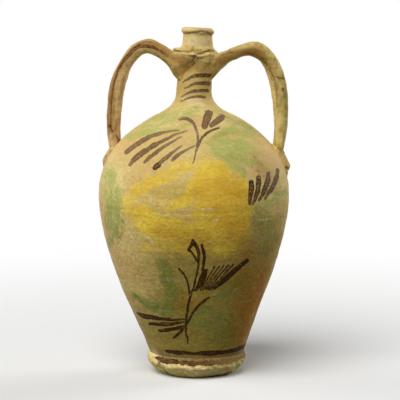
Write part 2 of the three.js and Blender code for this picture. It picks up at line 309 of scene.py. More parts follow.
def normals_of(piece):
    normals = np.empty(len(piece.data.vertices) * 3)
    piece.data.vertex_normals.foreach_get("vector", normals)
    return normals.reshape(-1, 3)


def move_points(piece, points):
    piece.data.vertices.foreach_set("co", (points * MM).ravel())
    piece.data.update()


def apply_modifier(piece, kind, **settings):
    """Gives a piece one modifier and keeps its result as the mesh."""
    modifier = piece.modifiers.new(kind, kind)
    for setting, value in settings.items():
        setattr(modifier, setting, value)
    graph = bpy.context.evaluated_depsgraph_get()
    before = piece.data
    result = bpy.data.meshes.new_from_object(piece.evaluated_get(graph))
    piece.modifiers.clear()
    piece.data = result
    bpy.data.meshes.remove(before)
    result.name = piece.name


def remove(piece):
    mesh = piece.data
    bpy.data.objects.remove(piece)
    bpy.data.meshes.remove(mesh)


def ring_quads(rows, segments, closed):
    """Faces between rows of ring points; a closed section also joins its last row to its first."""
    row = np.arange(rows if closed else rows - 1)[:, None]
    column = np.arange(segments)[None, :]
    above = (row + 1) % rows
    beside = (column + 1) % segments
    corners = [(row, column), (row, beside), (above, beside), (above, column)]
    return np.stack([r * segments + c for r, c in corners], axis=-1).reshape(-1, 4)


def end_fans(rows, sides):
    """Triangles from the first and the last ring to the two centre points that follow the rings."""
    here = np.arange(sides)
    there = (here + 1) % sides
    last = (rows - 1) * sides
    centre = np.full(sides, rows * sides)
    first_fan = columns(centre, there, here)
    last_fan = columns(last + here, last + there, centre + 1)
    return np.concatenate([first_fan, last_fan])


def turned(name, stretches, segments, relief=None):
    """Turned piece from stretches of (outline points, whether the relief moves them).

    The outline runs up the outside and down the inside. It may start and end on the axis.
    """
    lines = [np.array(points, float) for points, _ in stretches]
    moves = np.repeat([float(moved) for _, moved in stretches], [len(line) for line in lines])
    sideways = np.concatenate([outward(line) for line in lines])
    outline = np.concatenate(lines)
    on_axis = outline[:, 0] == 0
    centres = np.array([(0, 0, z) for z in outline[on_axis, 1]]).reshape(-1, 3)
    outline, sideways, moves = outline[~on_axis], sideways[~on_axis], moves[~on_axis]
    angle = np.arange(segments) * (2 * math.pi / segments)
    spoke = columns(np.cos(angle), np.sin(angle))

    def revolve(pairs):
        flat = pairs[:, None, :1] * spoke
        height = np.broadcast_to(pairs[:, None, 1:], (*flat.shape[:2], 1))
        return np.concatenate([flat, height], axis=2).reshape(-1, 3)

    points = settle(revolve(outline))
    if relief:
        points = points + revolve(sideways) * (np.repeat(moves, segments) * relief(points))[:, None]
    points = np.concatenate([points, settle(centres)])
    rows = len(outline)
    fans = end_fans(rows, segments) if len(centres) else ()
    return new_object(name, points, ring_quads(rows, segments, closed=not len(centres)), fans)


def loft(name, rings):
    """Closed skin over a row of rings, with a fan of triangles at each end."""
    rows, sides, _ = rings.shape
    centres = rings[[0, -1]].mean(axis=1)
    points = np.concatenate([rings.reshape(-1, 3), centres])
    return new_object(name, points, ring_quads(rows, sides, closed=False), end_fans(rows, sides))


# Outlines of the body

def wall_curve(start, start_lean, end, end_lean, reaches):
    """Curve of a wall between two points, each with a lean from the vertical and that lean's reach."""
    def along(lean, reach):
        angle = math.radians(lean)
        return np.array((math.sin(angle), math.cos(angle))) * reach

    start, end = np.array(start, float), np.array(end, float)
    leave = start + along(start_lean, reaches[0])
    arrive = end - along(end_lean, reaches[1])
    t = np.linspace(0, 1, WALL_POINTS)[:, None]
    return (1 - t) ** 3 * start + 3 * (1 - t) ** 2 * t * leave + 3 * (1 - t) * t**2 * arrive + t**3 * end


belly_curve = wall_curve(HEEL, HEEL_LEAN, SEAM, SEAM_LEAN, BELLY_REACHES)
shoulder_curve = wall_curve(SEAM, SEAM_LEAN, SHOULDER, SHOULDER_LEAN, SHOULDER_REACHES)
flare_curve = wall_curve(SHOULDER, SHOULDER_LEAN, NECK, 0, FLARE_REACHES)
flange_index = int(np.argmax(flare_curve[:, 0] <= FLANGE_RADIUS))
body_flare = flare_curve[: flange_index + 1]
neck_flare = flare_curve[flange_index:]


def inside_of(points):
    """The inside of a wall whose outside is given, with fewer points and running back down."""
    return respaced(points - outward(points) * WALL, INSIDE_STEP)[::-1]


def neck_radius_at(z):
    return np.interp(z, (NECK[1], SPOUT[1]), (NECK[0], SPOUT[0]))


# Relief of the hand-made surfaces, in millimetres

# Layers of noise, as (amount, size of the lumps, seed)
NOISE_LAYERS = {
    "throwing_rings": [(0.34, (160, 160, 8), 1), (0.45, (220, 220, 26), 2)],
    "thrown_lumps": [(0.75, 58, 3), (0.30, 24, 4)],
    "thrown_grain": [(0.12, 7, 5), (0.08, 3.2, 6)],
    "seam_break": [(0.5, 16, 8)],
    "seam_drift": [(2, 60, 9)],
    "clay_lumps": [(0.55, 17, 11)],
    "clay_grain": [(0.32, 7.5, 12), (0.14, 3, 13)],
    "foot_lumps": [(0.7, 26, 14)],
    "foot_smears": [(1, (6.5, 22, 1), 15), (0.5, (2.8, 14, 1), 17)],
    "foot_grain": [(1, 3.2, 16)],
    "bead_drift": [(1, 16, 18)],
    "bead_lumps": [(0.45, 8, 19)],
    "collar_tears": [(1, (8, 8, 7), 21)],
    "band_sway": [(0.7, 22, 31)],
    "band_width": [(0.35, 18, 32)],
    "band_load": [(0.3, 24, 33)],
    "band_flecks": [(0.6, (5, 5, 3), 34), (0.8, 1.8, 35)],
    "band_gap": [(1, 6, 36)],
    "wash_edge": [(0.08, 30, 45)],
    "crease_lumps": [(0.6, 4.5, 48)],
}
NECK_RELIEF = {"radii": (18, 60), "least": 0.3}
SEAM_DENT = {"height": 207, "half_width": 2.4, "depth": 0.3}
CLAY_ROUGHNESS = {"reach": (46, 30), "more": 0.9}
FOOT_SMEARS = {"heights": (22, 16), "slant": 1.6, "depth": 0.6}
FOOT_GRAIN = {"least": 0.1, "more": 0.2}
FOOT_BEAD = {"height": 14.6, "half_width": 3.2, "rise": 1.2, "front": (-10, 40)}
COLLAR_TEAR = 1.5
COLLAR_BULGE = {"rise": 1.6, "left": (14, 24), "heights": (COLLAR_SHELF - 2, COLLAR_SHELF + 4)}
PIT_COUNT = 36
PIT_HEIGHTS = (40, 300)
PIT_RADII = (1.0, 2.6)
PIT_DEPTH = 0.16
pit_random = np.random.default_rng(7)
pit_angles = pit_random.uniform(0, 2 * math.pi, PIT_COUNT)
pit_heights = pit_random.uniform(*PIT_HEIGHTS, PIT_COUNT)
pit_radii = pit_random.uniform(*PIT_RADII, PIT_COUNT)


def layered(points, name):
    """Sum of the noise layers of one name."""
    return sum(amount * noise(points, size, seed) for amount, size, seed in NOISE_LAYERS[name])


def pits(points):
    """Small craters scattered over the belly and the shoulder."""
    angle = np.arctan2(points[:, 1], points[:, 0])
    radius = np.hypot(points[:, 0], points[:, 1])
    depth = np.zeros(len(points))
    for at_angle, at_height, size in zip(pit_angles, pit_heights, pit_radii):
        turn = (angle - at_angle + math.pi) % (2 * math.pi) - math.pi
        away = np.hypot(turn * radius, points[:, 2] - at_height)
        depth += PIT_DEPTH * size * hump(away / size)
    return depth


def thrown_detail(points):
    """Fine part of the relief of a thrown wall: grain, the luted seam and pits."""
    broken = 0.5 + layered(points, "seam_break")
    middle = SEAM_DENT["height"] + layered(points, "seam_drift")
    across = (points[:, 2] - middle) / SEAM_DENT["half_width"]
    seam = -SEAM_DENT["depth"] * broken * hump(across)
    return layered(points, "thrown_grain") + seam - pits(points)


def thrown_relief(points):
    """Throwing rings and hand-made lumps of a thrown wall, weakest on the neck, with its detail."""
    wide = smoothstep(np.hypot(points[:, 0], points[:, 1]), *NECK_RELIEF["radii"])
    strength = NECK_RELIEF["least"] + (1 - NECK_RELIEF["least"]) * wide
    forms = layered(points, "throwing_rings") + layered(points, "thrown_lumps")
    return forms * strength + thrown_detail(points)


def near_neck(points, far, near):
    """Share from 0 to 1 that rises towards the neck, between two distances from its axis."""
    return smoothstep(np.hypot(points[:, 0] - MOUTH_SHIFT, points[:, 1]), far, near)


def clay_relief(points):
    """Thumbed, lumpy clay of the handles, wads and collar, roughest round the neck."""
    rough = 1 + CLAY_ROUGHNESS["more"] * near_neck(points, *CLAY_ROUGHNESS["reach"])
    return layered(points, "clay_lumps") + rough * layered(points, "clay_grain")


def foot_wear(points):
    """Slanting smears of the fingers that luted the coil on, and its coarse grain."""
    x, y, z = points.T
    rim = smoothstep(z, *FOOT_SMEARS["heights"])
    round_way = np.arctan2(y, x) * FOOT_RADIUS
    slant = columns(round_way + FOOT_SMEARS["slant"] * z, z, np.zeros(len(points)))
    smears = rim * FOOT_SMEARS["depth"] * layered(slant, "foot_smears")
    return smears + (FOOT_GRAIN["least"] + FOOT_GRAIN["more"] * rim) * layered(points, "foot_grain")


def foot_bead(points):
    """Uneven bead pinched up round the front of the coil."""
    front = smoothstep(-points[:, 1], *FOOT_BEAD["front"])
    middle = FOOT_BEAD["height"] + layered(points, "bead_drift")
    across = (points[:, 2] - middle) / FOOT_BEAD["half_width"]
    return FOOT_BEAD["rise"] * front * hump(across) * (1 + layered(points, "bead_lumps"))


def foot_relief(points):
    return layered(points, "foot_lumps") + foot_wear(points) + foot_bead(points)


def collar_relief(points):
    """Pressed clay with a torn edge, fuller on the left and flatter at the front and the back."""
    x, y, z = points.T
    torn = smoothstep(z, COLLAR_TOP, COLLAR_SHELF)
    left = smoothstep(-x, *COLLAR_BULGE["left"])
    fuller = COLLAR_BULGE["rise"] * left * smoothstep(z, *COLLAR_BULGE["heights"])
    flatter = COLLAR_FLATTENING * torn * (y / COLLAR_RADIUS) ** 2
    tears = COLLAR_TEAR * torn * layered(points, "collar_tears")
    return clay_relief(points) * torn + tears + fuller - flatter


# Turned pieces

def tongue_outline(spare):
    """Outline of the tongue on the lower rim from the outside in, with spare room round it."""
    half = TONGUE_WIDTH / 2 + spare
    middle = SEAM[0] - WALL / 2
    rim, top = SEAM[1], SEAM[1] + TONGUE_HEIGHT
    return [
        (middle + half, rim), (middle + half - TONGUE_TAPER, top),
        (middle - half + TONGUE_TAPER, top), (middle - half, rim),
    ]


def make_lower_body():
    bevel, rise = HEEL_BEVEL
    floor = [
        (0, FLOOR_UNDERSIDE), (HEEL_REST_RADIUS - bevel, FLOOR_UNDERSIDE),
        (HEEL_REST_RADIUS, FLOOR_UNDERSIDE + rise),
    ]
    corner = (BOWL_RADIUS + BOWL_BEVEL[0], FLOOR_TOP + BOWL_BEVEL[1])
    bowl = [corner, (BOWL_RADIUS, FLOOR_TOP), (0, FLOOR_TOP)]
    return turned("jug_lower_body", [
        (floor, False),
        (respaced(belly_curve, RING_STEP), True),
        (tongue_outline(spare=0), False),
        (inside_of(belly_curve[BOWL_START:]), False),
        (bowl, False),
    ], BODY_SEGMENTS, thrown_relief)


def make_upper_body():
    outside = np.concatenate([shoulder_curve, body_flare[1:]])
    inside = inside_of(shoulder_curve)
    hole = [(FLANGE_RADIUS, FLANGE_SEAT), (HOLE_RADIUS, FLANGE_SEAT), (HOLE_RADIUS, inside[0][1] + 1)]
    return turned("jug_upper_body", [
        (respaced(outside, RING_STEP), True),
        (hole, False),
        (inside, False),
        (tongue_outline(spare=JOINT_GAP)[::-1], False),
    ], BODY_SEGMENTS, thrown_relief)


def lip_outline():
    turn = np.linspace(*LIP_TURN, LIP_POINTS)
    reach = np.where(turn < math.pi / 2, LIP_OUTER_REACH, LIP_INNER_REACH)
    radius = LIP_CREST_RADIUS + reach * np.cos(turn)
    height = HEIGHT - LIP_HALF_HEIGHT + LIP_HALF_HEIGHT * np.sin(turn)
    return columns(radius, height)


def make_neck():
    seat = FLANGE_SEAT + JOINT_GAP
    radius = HOLE_RADIUS - JOINT_GAP
    bottom = seat - SPIGOT_LENGTH
    inner = radius - SPIGOT_WALL
    outside = np.concatenate([neck_flare, [SPOUT], [LIP_GROOVE], lip_outline()])
    bore = [BORE, (THROAT_RADIUS, THROAT_SPAN[1]), (THROAT_RADIUS, THROAT_SPAN[0])]
    spigot = [
        (inner - SPIGOT_BEVEL[0], bottom + SPIGOT_BEVEL[1]), (inner, bottom),
        (radius, bottom), (radius, seat), (FLANGE_RADIUS, seat),
    ]
    return turned("jug_neck", [
        (respaced(outside, RING_STEP * NECK_FINENESS), True),
        (respaced(bore, BORE_STEP), False),
        (spigot, False),
    ], NECK_SEGMENTS, thrown_relief)


# Knots of the coil, as (out from the foot's radius, height), and of its top edge, from the heel
FOOT_COIL = [(-10.6, 3.4), (-3.6, 10.2), (0, 17.5)]
FOOT_EDGE = [(2.2, -3), (JOINT_GAP, 0.5)]


def make_foot_ring():
    inner, outer = FOOT_CONTACT
    bevel, rise = HEEL_BEVEL
    ceiling = FLOOR_UNDERSIDE - JOINT_GAP
    swell = [(FOOT_RADIUS + out, z) for out, z in FOOT_COIL]
    edge = [(HEEL[0] + out, HEEL[1] + up) for out, up in FOOT_EDGE]
    coil = curve_through([(outer, 0), *swell, *edge])
    inside = [
        (HEEL_REST_RADIUS + JOINT_GAP, FLOOR_UNDERSIDE + rise), (HEEL_REST_RADIUS - bevel, ceiling),
        (inner + 1, ceiling), (inner, 0),
    ]
    piece = turned("jug_foot_ring", [
        (respaced(coil, FOOT_RING_STEP)[1:], True),
        (inside, False),
        ([(outer, 0)], False),
    ], BODY_SEGMENTS, foot_relief)
    points = points_of(piece)
    points[:, 2] = np.maximum(points[:, 2], 0)
    move_points(piece, points)
    return piece


def raise_ledge(piece):
    """Lifts the left side of the collar's shelf into a ledge."""
    points = points_of(piece)
    x, _, z = points.T
    left = smoothstep(-x, *COLLAR_LEDGE["left"])
    above = smoothstep(z, COLLAR_SHELF - COLLAR_LEDGE["soft"], COLLAR_SHELF + COLLAR_LEDGE["soft"])
    below = smoothstep(COLLAR_TOP + 1 - z, 0, COLLAR_LEDGE["depth"])
    points[:, 2] += COLLAR_LEDGE["rise"] * (left * above * below)
    move_points(piece, points)


def make_collar():
    feather = COLLAR_TOP + 3
    inner_bottom = neck_radius_at(COLLAR_BOTTOM) - JOINT_GAP
    inner_top = neck_radius_at(feather) - JOINT_GAP
    outside = curve_through([
        (COLLAR_RADIUS - 4, COLLAR_BOTTOM), (COLLAR_RADIUS - 1.6, COLLAR_BOTTOM + 1),
        (COLLAR_RADIUS, COLLAR_SHELF), (COLLAR_RADIUS - 1.6, COLLAR_SHELF + 2.2),
        (COLLAR_TOP_RADIUS + 2, COLLAR_SHELF + 4.8), (COLLAR_TOP_RADIUS - 0.8, COLLAR_TOP),
        (inner_top, feather),
    ])
    piece = turned("jug_collar", [
        ([(inner_bottom, COLLAR_BOTTOM)], False),
        (respaced(outside, COLLAR_RING_STEP), True),
        ([(inner_top - 1, feather - 1)], False),
    ], NECK_SEGMENTS, collar_relief)
    raise_ledge(piece)
    return piece


# Handles and wads

def value_at(knots, share):
    """Value at a share of the way through (share, value) knots, easing from each knot to the next."""
    shares, values = zip(*knots)
    step = int(np.clip(np.searchsorted(shares, share), 1, len(knots) - 1))
    ease = smoothstep(share, shares[step - 1], shares[step])
    return values[step - 1] + (values[step] - values[step - 1]) * ease


def strap_section(groove, roundness, sides=48):
    """Oval section in shares of half thickness and half width, with the finger groove in its front."""
    angle = np.arange(sides) * (2 * math.pi / sides)
    dent = 1 - groove * hump((angle - GROOVE_ANGLE) / GROOVE_SPREAD)
    oval = columns(np.cos(angle), np.sin(angle))
    return np.sign(oval) * np.abs(oval) ** roundness * dent[:, None]


def make_strap(side):
    shape = HANDLES[side]
    outer = curve_through(shape["outer"], STRAP_STEPS)
    inner = curve_through(shape["inner"], STRAP_STEPS)
    rings = []
    for share, top, under in zip(np.linspace(0, 1, len(outer)), outer, inner):
        section = strap_section(shape["groove"], value_at(STRAP_ROUNDNESS, share))
        centre = (top + under) / 2
        half_thickness = (top - under) / 2
        half_width = value_at(STRAP_WIDTH, share) / 2
        flat = centre + section[:, :1] * half_thickness
        across = section[:, 1] * half_width
        rings.append(columns(flat[:, 0] * shape["outward"], across, flat[:, 1]))
    rings = np.array(rings)
    if shape["outward"] < 0:
        rings = rings[:, ::-1]
    return loft(side + "_strap", spun(rings, HANDLE_SETBACK * shape["outward"]))


# Knots of a cup's skin, as shares of its swell outwards and of its drop below the rim
CUP_SKIN = [(0.5, 0.7), (0.85, 0.4)]
CUP_TUCK = 1.5


def cup_section(share):
    """Section of a cup as (radius, height) points, at a share of the way from a seam to the side."""
    top = CUP_TOP_SEAM + (CUP_TOP_SIDE - CUP_TOP_SEAM) * share
    bottom = CUP_BOTTOM_SEAM + (CUP_BOTTOM_SIDE - CUP_BOTTOM_SEAM) * share
    radius = CUP_FRONT_RADIUS + (CUP_RADIUS - CUP_FRONT_RADIUS) * share
    drop = top - bottom
    swell = radius - CUP_FEATHER_RADIUS
    outside = curve_through([
        (CUP_FEATHER_RADIUS - CUP_TUCK, bottom - CUP_TUCK), (CUP_FEATHER_RADIUS + swell * 0.1, bottom + 2),
        *((CUP_FEATHER_RADIUS + swell * out, top - drop * down) for out, down in CUP_SKIN),
        (radius, top - 2.4), (radius - 1.6, top),
    ], CUP_STEPS)
    return np.vstack([(CUP_BACK_RADIUS, bottom - CUP_TUCK), outside, (CUP_BACK_RADIUS, top - 1)])


def make_cup(side, steps=72):
    """Half cup that a handle spreads round the neck, from one seam round the side to the other."""
    outward_angle = 0 if HANDLES[side]["outward"] > 0 else math.pi
    rings = []
    for turn in np.linspace(-CUP_SEAM_ANGLE, CUP_SEAM_ANGLE, steps):
        section = cup_section(math.cos(turn))
        angle = outward_angle + turn
        rings.append(columns(
            section[:, 0] * math.cos(angle), section[:, 0] * math.sin(angle), section[:, 1],
        ))
    rings = np.array(rings)[:, ::-1]
    return loft(side + "_cup", settle(rings))


def joined(first, second):
    """One object with the meshes of both."""
    with bpy.context.temp_override(active_object=first, selected_editable_objects=[first, second]):
        bpy.ops.object.join()
    return first


def cut(piece, *cutters):
    for cutter in cutters:
        apply_modifier(piece, "BOOLEAN", operation="DIFFERENCE", solver="MANIFOLD", object=cutter)


def drop_crumbs(piece):
    """Keeps the largest shell of a cut piece, without the slivers beside it."""
    shape = bmesh.new()
    shape.from_mesh(piece.data)
    shells = []
    reached = set()
    for start in shape.verts:
        if start in reached:
            continue
        shell = [start]
        reached.add(start)
        for point in shell:
            beside = [edge.other_vert(point) for edge in point.link_edges]
            fresh = [other for other in beside if other not in reached]
            reached.update(fresh)
            shell.extend(fresh)
        shells.append(shell)
    shells.sort(key=len)
    crumbs = [point for shell in shells[:-1] for point in shell]
    bmesh.ops.delete(shape, geom=crumbs, context="VERTS")
    shape.to_mesh(piece.data)
    shape.free()


def make_body_cutter():
    """Solid inside of the body and the neck that the handles and wads are cut against."""
    walls = [belly_curve[::CUTTER_STRIDE], shoulder_curve[1::CUTTER_STRIDE], flare_curve[1::CUTTER_STRIDE]]
    skin = np.concatenate([*walls, [SPOUT], [LIP_GROOVE]])
    skin = skin - outward(skin) * JOINT_GAP
    stretches = [([(0, HEEL[1])], False), (skin, False), ([(0, LIP_GROOVE[1])], False)]
    return turned("body_cutter", stretches, CUTTER_SEGMENTS)


def smoothed(piece, rounds):
    """A piece's points after rounds of averaging with their neighbours."""
    points = points_of(piece)
    edges = np.empty(len(piece.data.edges) * 2, np.int64)
    piece.data.edges.foreach_get("vertices", edges)
    first, second = edges.reshape(-1, 2).T
    count = np.bincount(edges, minlength=len(points))[:, None]
    for _ in range(rounds):
        total = np.zeros_like(points)
        for axis in range(3):
            total[:, axis] = np.bincount(first, points[second, axis], len(points))
            total[:, axis] += np.bincount(second, points[first, axis], len(points))
        points = (points + total / count) / 2
    return points


def model_clay(piece):
    """Fuses the overlapping shells of a piece into one skin of soft, lumpy clay."""
    apply_modifier(piece, "REMESH", mode="VOXEL", voxel_size=CLAY_VOXEL * MM)
    apply_modifier(piece, "SMOOTH", **CLAY_SMOOTHING)
    points = points_of(piece)
    share = near_neck(points, *CUP_BLEND_REACH)[:, None]
    points = points * (1 - share) + smoothed(piece, CUP_BLEND_ROUNDS) * share
    move_points(piece, points)
    move_points(piece, points + normals_of(piece) * clay_relief(points)[:, None])


def shoulder_at(z):
    """Point of the shoulder's outside at a height, as (radius, height)."""
    return np.array((np.interp(z, shoulder_curve[:, 1], shoulder_curve[:, 0]), z))


def make_wad(side, body_cutter, steps=40, sides=48):
    """Wad of clay over the root of a handle: a tongue that feathers out down the shoulder."""
    shape = WADS[side]
    way = HANDLES[side]["outward"]
    angle = np.arange(sides) * (2 * math.pi / sides)
    rings = []
    for step in range(steps + 1):
        share = (1 - math.cos(step / steps * math.pi)) / 2
        surface = shoulder_at(shape["top"] + (shape["bottom"] - shape["top"]) * share)
        slope = shoulder_at(surface[1] - 1) - surface
        slope /= np.linalg.norm(slope)
        thick = value_at(WAD_SWELL, share)
        broad = max(math.sqrt(1 - (2 * share - 1) ** 4), WAD_BLUNT_END)
        rise = shape["height"] * thick * np.cos(angle)
        across = shape["width"] / 2 * broad * np.sin(angle)
        rings.append(columns(
            (surface[0] - slope[1] * rise) * way, across * way, surface[1] + slope[0] * rise,
        ))
    piece = loft(f"jug_{side}_root_wad", spun(np.array(rings), HANDLE_SETBACK * way))
    model_clay(piece)
    cut(piece, body_cutter)
    return piece


def feather_cup(piece):
    """Thins the front of a cup down to nothing along its lower edge, which peaks at the seam."""
    points = points_of(piece)
    x, y, z = points.T
    across = np.abs(x - CUP_MIDDLE)
    above = z - CUP_EDGE["peak"] + CUP_EDGE["slope"] * across
    thin = 1 - smoothstep(above, *CUP_EDGE["feather"])
    thin = thin * smoothstep(across, *CUP_EDGE["reach"]) * smoothstep(z, *CUP_EDGE["heights"])
    radius = np.hypot(x - CUP_MIDDLE, y)
    rest = neck_radius_at(z) - CUP_EDGE["sunk"]
    points[:, 1] = y * (1 - thin * np.maximum(radius - rest, 0) / radius)
    move_points(piece, points)


def make_handle(side, *cutters):
    piece = joined(make_strap(side), make_cup(side))
    piece.name = f"jug_{side}_handle"
    model_clay(piece)
    feather_cup(piece)
    cut(piece, *cutters)
    drop_crumbs(piece)
    return piece


# Brush strokes of the ornament, as (column, row, width) in pixels of the photograph

BROWN_STROKES = {
    "neck_stripe_1": [(183, 82.4, 1.2), (192.4, 76.6, 3.2), (202, 75.4, 4), (210, 75.3, 4.2)],
    "neck_stripe_2": [(184.2, 88.6, 1.2), (195, 83.5, 3), (208.5, 83.5, 4)],
    "neck_stripe_3": [(181.6, 96.7, 1.2), (192, 91.5, 2.8), (207.5, 90.5, 3.4)],
    "neck_stripe_4": [(180.6, 101.8, 1), (189, 98, 2), (198, 96.5, 2.6), (205, 97, 2.2)],
    "spray_stem": [
        (179.4, 119.4, 2), (184.5, 118.2, 3), (190, 120.2, 3.4), (194.3, 125, 3), (197.6, 134.4, 2.6),
        (197.2, 146, 2.4), (193.2, 163.5, 1.2),
    ],
    "spray_branch": [(198, 146, 2), (202, 138, 2.4), (209, 132, 2.6), (219, 127.7, 2)],
    "spray_dab_high": [(208.6, 114, 7.6), (207, 119, 8.2), (204.6, 126.6, 5.6)],
    "spray_dab_high_end": [(205.6, 111.8, 2.4), (211.8, 112.2, 2.4)],
    "spray_dab_low": [(222.4, 117, 5.6), (217.8, 120.4, 6.4), (211.2, 125.6, 4.2)],
    "spray_dab_low_end": [(220.8, 114.4, 2), (225, 116.4, 2)],
    "spray_fan_1": [
        (126.2, 152.4, 4), (132.2, 147.6, 4.8), (140, 142.4, 5.2), (150, 137, 4.4), (160, 133.4, 3.2),
        (170, 131.2, 2.2), (179, 130.2, 1.2),
    ],
    "spray_fan_2": [
        (129.6, 165.2, 2.8), (134.5, 159, 4.8), (141.5, 153.4, 5.8), (152, 146.6, 4.8), (163, 140.6, 3.4),
        (175, 134.8, 2.4), (187, 131, 1.2),
    ],
    "spray_fan_3": [
        (144.6, 162.6, 3), (149, 158, 4), (156, 152.4, 3.8), (165, 146.4, 3), (173, 141.4, 2.4),
        (181.4, 137.2, 1.2),
    ],
    "spray_head": [(155.4, 167.6, 5.4), (158, 165.4, 6)],
    "spray_fan_4": [
        (158, 165, 3.4), (163, 160, 3.7), (169, 155.5, 3.5), (176, 150, 2.4), (182.2, 145.3, 1.4),
    ],
    "spray_fan_5": [(172, 160.4, 3), (176, 156.6, 3.5), (183, 152, 2.8), (194.5, 145.8, 1.4)],
    "side_1": [(251.4, 182.2, 4.8), (251.3, 188, 5.8), (250.6, 195.5, 4.2), (249.6, 203.4, 3.2)],
    "side_2": [(258.8, 177.4, 4.4), (258.5, 185.5, 5.2), (256.4, 195.4, 4), (253, 203.8, 2.4)],
    "side_3": [(268.4, 173.6, 4), (267.6, 180.4, 4.8), (264.4, 190, 4.6), (259, 200.4, 2.6)],
    "side_4": [(277.7, 170.2, 3.6), (276.6, 177, 4.6), (272.6, 187, 4.6), (264.8, 198.8, 2.2)],
    "bud_left": [(192.8, 240.6, 3), (190.8, 245.6, 2.6), (188.9, 249.6, 3.8)],
    "bud_turn": [(188.9, 249.6, 3.4), (191.5, 252.2, 2.4), (195, 257.6, 2.4), (198.4, 262, 2.4)],
    "bud_right": [(192.8, 240.6, 3.2), (196.2, 245.9, 3.5), (198.6, 252.1, 3.4), (199, 259, 2.4)],
    "bud_tip": [(192.8, 241, 2.4), (193, 245, 2.4)],
    "plant_stem": [
        (198.8, 257.6, 2), (198.2, 266.4, 2.2), (196.3, 276.9, 2), (193.4, 288.3, 2.1), (190.4, 296, 2.7),
        (187.7, 309.2, 2.4), (186.4, 318.8, 2.4), (185.8, 326, 2), (185.9, 333.3, 1.7), (187.6, 338.4, 1.6),
        (187.9, 343.5, 1.4),
    ],
    "plant_bud_2": [
        (202, 245, 2.6), (203.4, 251, 3.2), (204.5, 257.8, 3), (203.2, 265, 2.6), (202.5, 270, 2.6),
    ],
    "plant_dab": [(204.6, 272, 5.6), (203, 277, 6), (200, 284, 4.8), (195.6, 290.5, 2.8)],
    "plant_dab_end": [(202.2, 270.4, 2), (207.4, 270, 2)],
    "plant_diagonal": [
        (247.2, 260.8, 3.8), (239, 267.2, 5), (231, 274, 5.6), (222, 282, 4.6), (214.6, 288.6, 2.2),
    ],
    "plant_twig_left": [(179, 268.8, 2.3), (184.4, 275, 1.9), (187.7, 283.5, 1.8), (189.8, 295, 1.8)],
    "plant_twig_right": [
        (208.8, 297.7, 2), (201, 303.5, 2.7), (195.4, 309.2, 2.4), (190.6, 317, 2), (187.7, 322.7, 1.8),
    ],
    "leaf_1": [
        (137.7, 312.6, 2), (143.5, 316, 4.6), (152, 317.4, 4.6), (161.7, 318.8, 3.6), (172.3, 319.8, 2.8),
        (184.3, 319.3, 1.8),
    ],
    "leaf_2": [(149.7, 323.7, 3), (158.8, 324.4, 3.7), (170.4, 324.1, 3.2), (183.8, 322.2, 1.8)],
    "leaf_3": [(159.3, 330.9, 2.8), (168.5, 329.4, 3.9), (178, 328, 3.5), (184.3, 326, 2)],
    "leaf_4": [(173.8, 337.6, 2.4), (179, 333.3, 3), (183.8, 327.5, 2.2)],
}
STROKE_LOADS = {
    "neck": 0.85, "spray_head": 1.0, "spray_fan_1": 0.55, "spray_fan": 0.65, "spray_dab": 0.6,
    "spray_branch": 1.2, "spray": 0.7, "side": 1.05, "bud": 2.2, "plant": 2.4, "leaf": 2,
}
BRISTLE_STROKE = {
    "from": [(214.5, 267), (233, 264.4)], "to": [(200.5, 290), (211, 289.4)],
    "count": 5, "widths": (1.8, 1.5, 2), "load": 2,
}

# Washes of thin colour, as a strength and (column, row, width) in pixels of the photograph
GREEN_WASHES = {
    "shoulder_left_bright": (0.85, [(129, 138, 5), (138, 134.6, 8), (148, 131.4, 8), (158, 129.4, 3)]),
    "shoulder_left_pale": (0.58, [(140, 128, 8), (156, 121, 14), (176, 115, 15), (196, 111, 8)]),
    "shoulder_left_under": (0.5, [(150, 129, 8), (168, 126, 10), (188, 127, 8)]),
    "shoulder_right_pale": (0.55, [(216, 112, 6), (232, 119, 12), (248, 128, 12), (262, 142, 8)]),
    "shoulder_right_high": (0.62, [(214, 137, 8), (226, 132, 10), (242, 131, 10), (256, 138, 9)]),
    "streak_1": (0.85, [(214, 141, 7), (228, 142, 10), (244, 146, 11), (259, 152, 8)]),
    "streak_2": (0.85, [(207, 143.5, 5), (218, 148, 10), (232, 154, 12), (246, 160, 9), (258, 162, 5)]),
    "streak_3": (0.85, [(212, 149, 6), (222, 156, 10), (232, 164, 11), (240, 171, 9), (243, 176, 4)]),
    "belly_left": (0.75, [(108, 176, 8), (111, 195, 17), (113, 212, 22), (112, 228, 20), (109, 243, 10)]),
    "belly_left_core": (0.8, [(118, 190, 7), (118, 215, 10), (117, 235, 7)]),
    "belly_right_top": (0.7, [(262, 204, 6), (272, 199, 9), (283, 192, 6)]),
    "belly_right": (0.7, [(254, 210, 12), (264, 222, 22), (270, 236, 18), (267, 250, 12)]),
    "lower_left": (1.0, [(162, 262, 8), (167, 275, 12), (172, 288, 15), (172, 300, 15), (168, 314, 9)]),
    "lower_left_wide": (0.55, [(158, 298, 14), (172, 309, 16), (183, 313, 8)]),
    "lower_left_tip": (1.0, [(137, 298, 5), (145, 305, 9), (158, 309, 8)]),
    "lower_right": (0.62, [(196, 318, 12), (208, 318, 24), (222, 325, 28), (230, 332, 20)]),
    "lower_right_dot": (0.9, [(191, 318, 5), (195, 319, 6)]),
    "lower_right_high": (0.65, [(214, 298, 8), (228, 292, 14), (246, 281, 10)]),
}
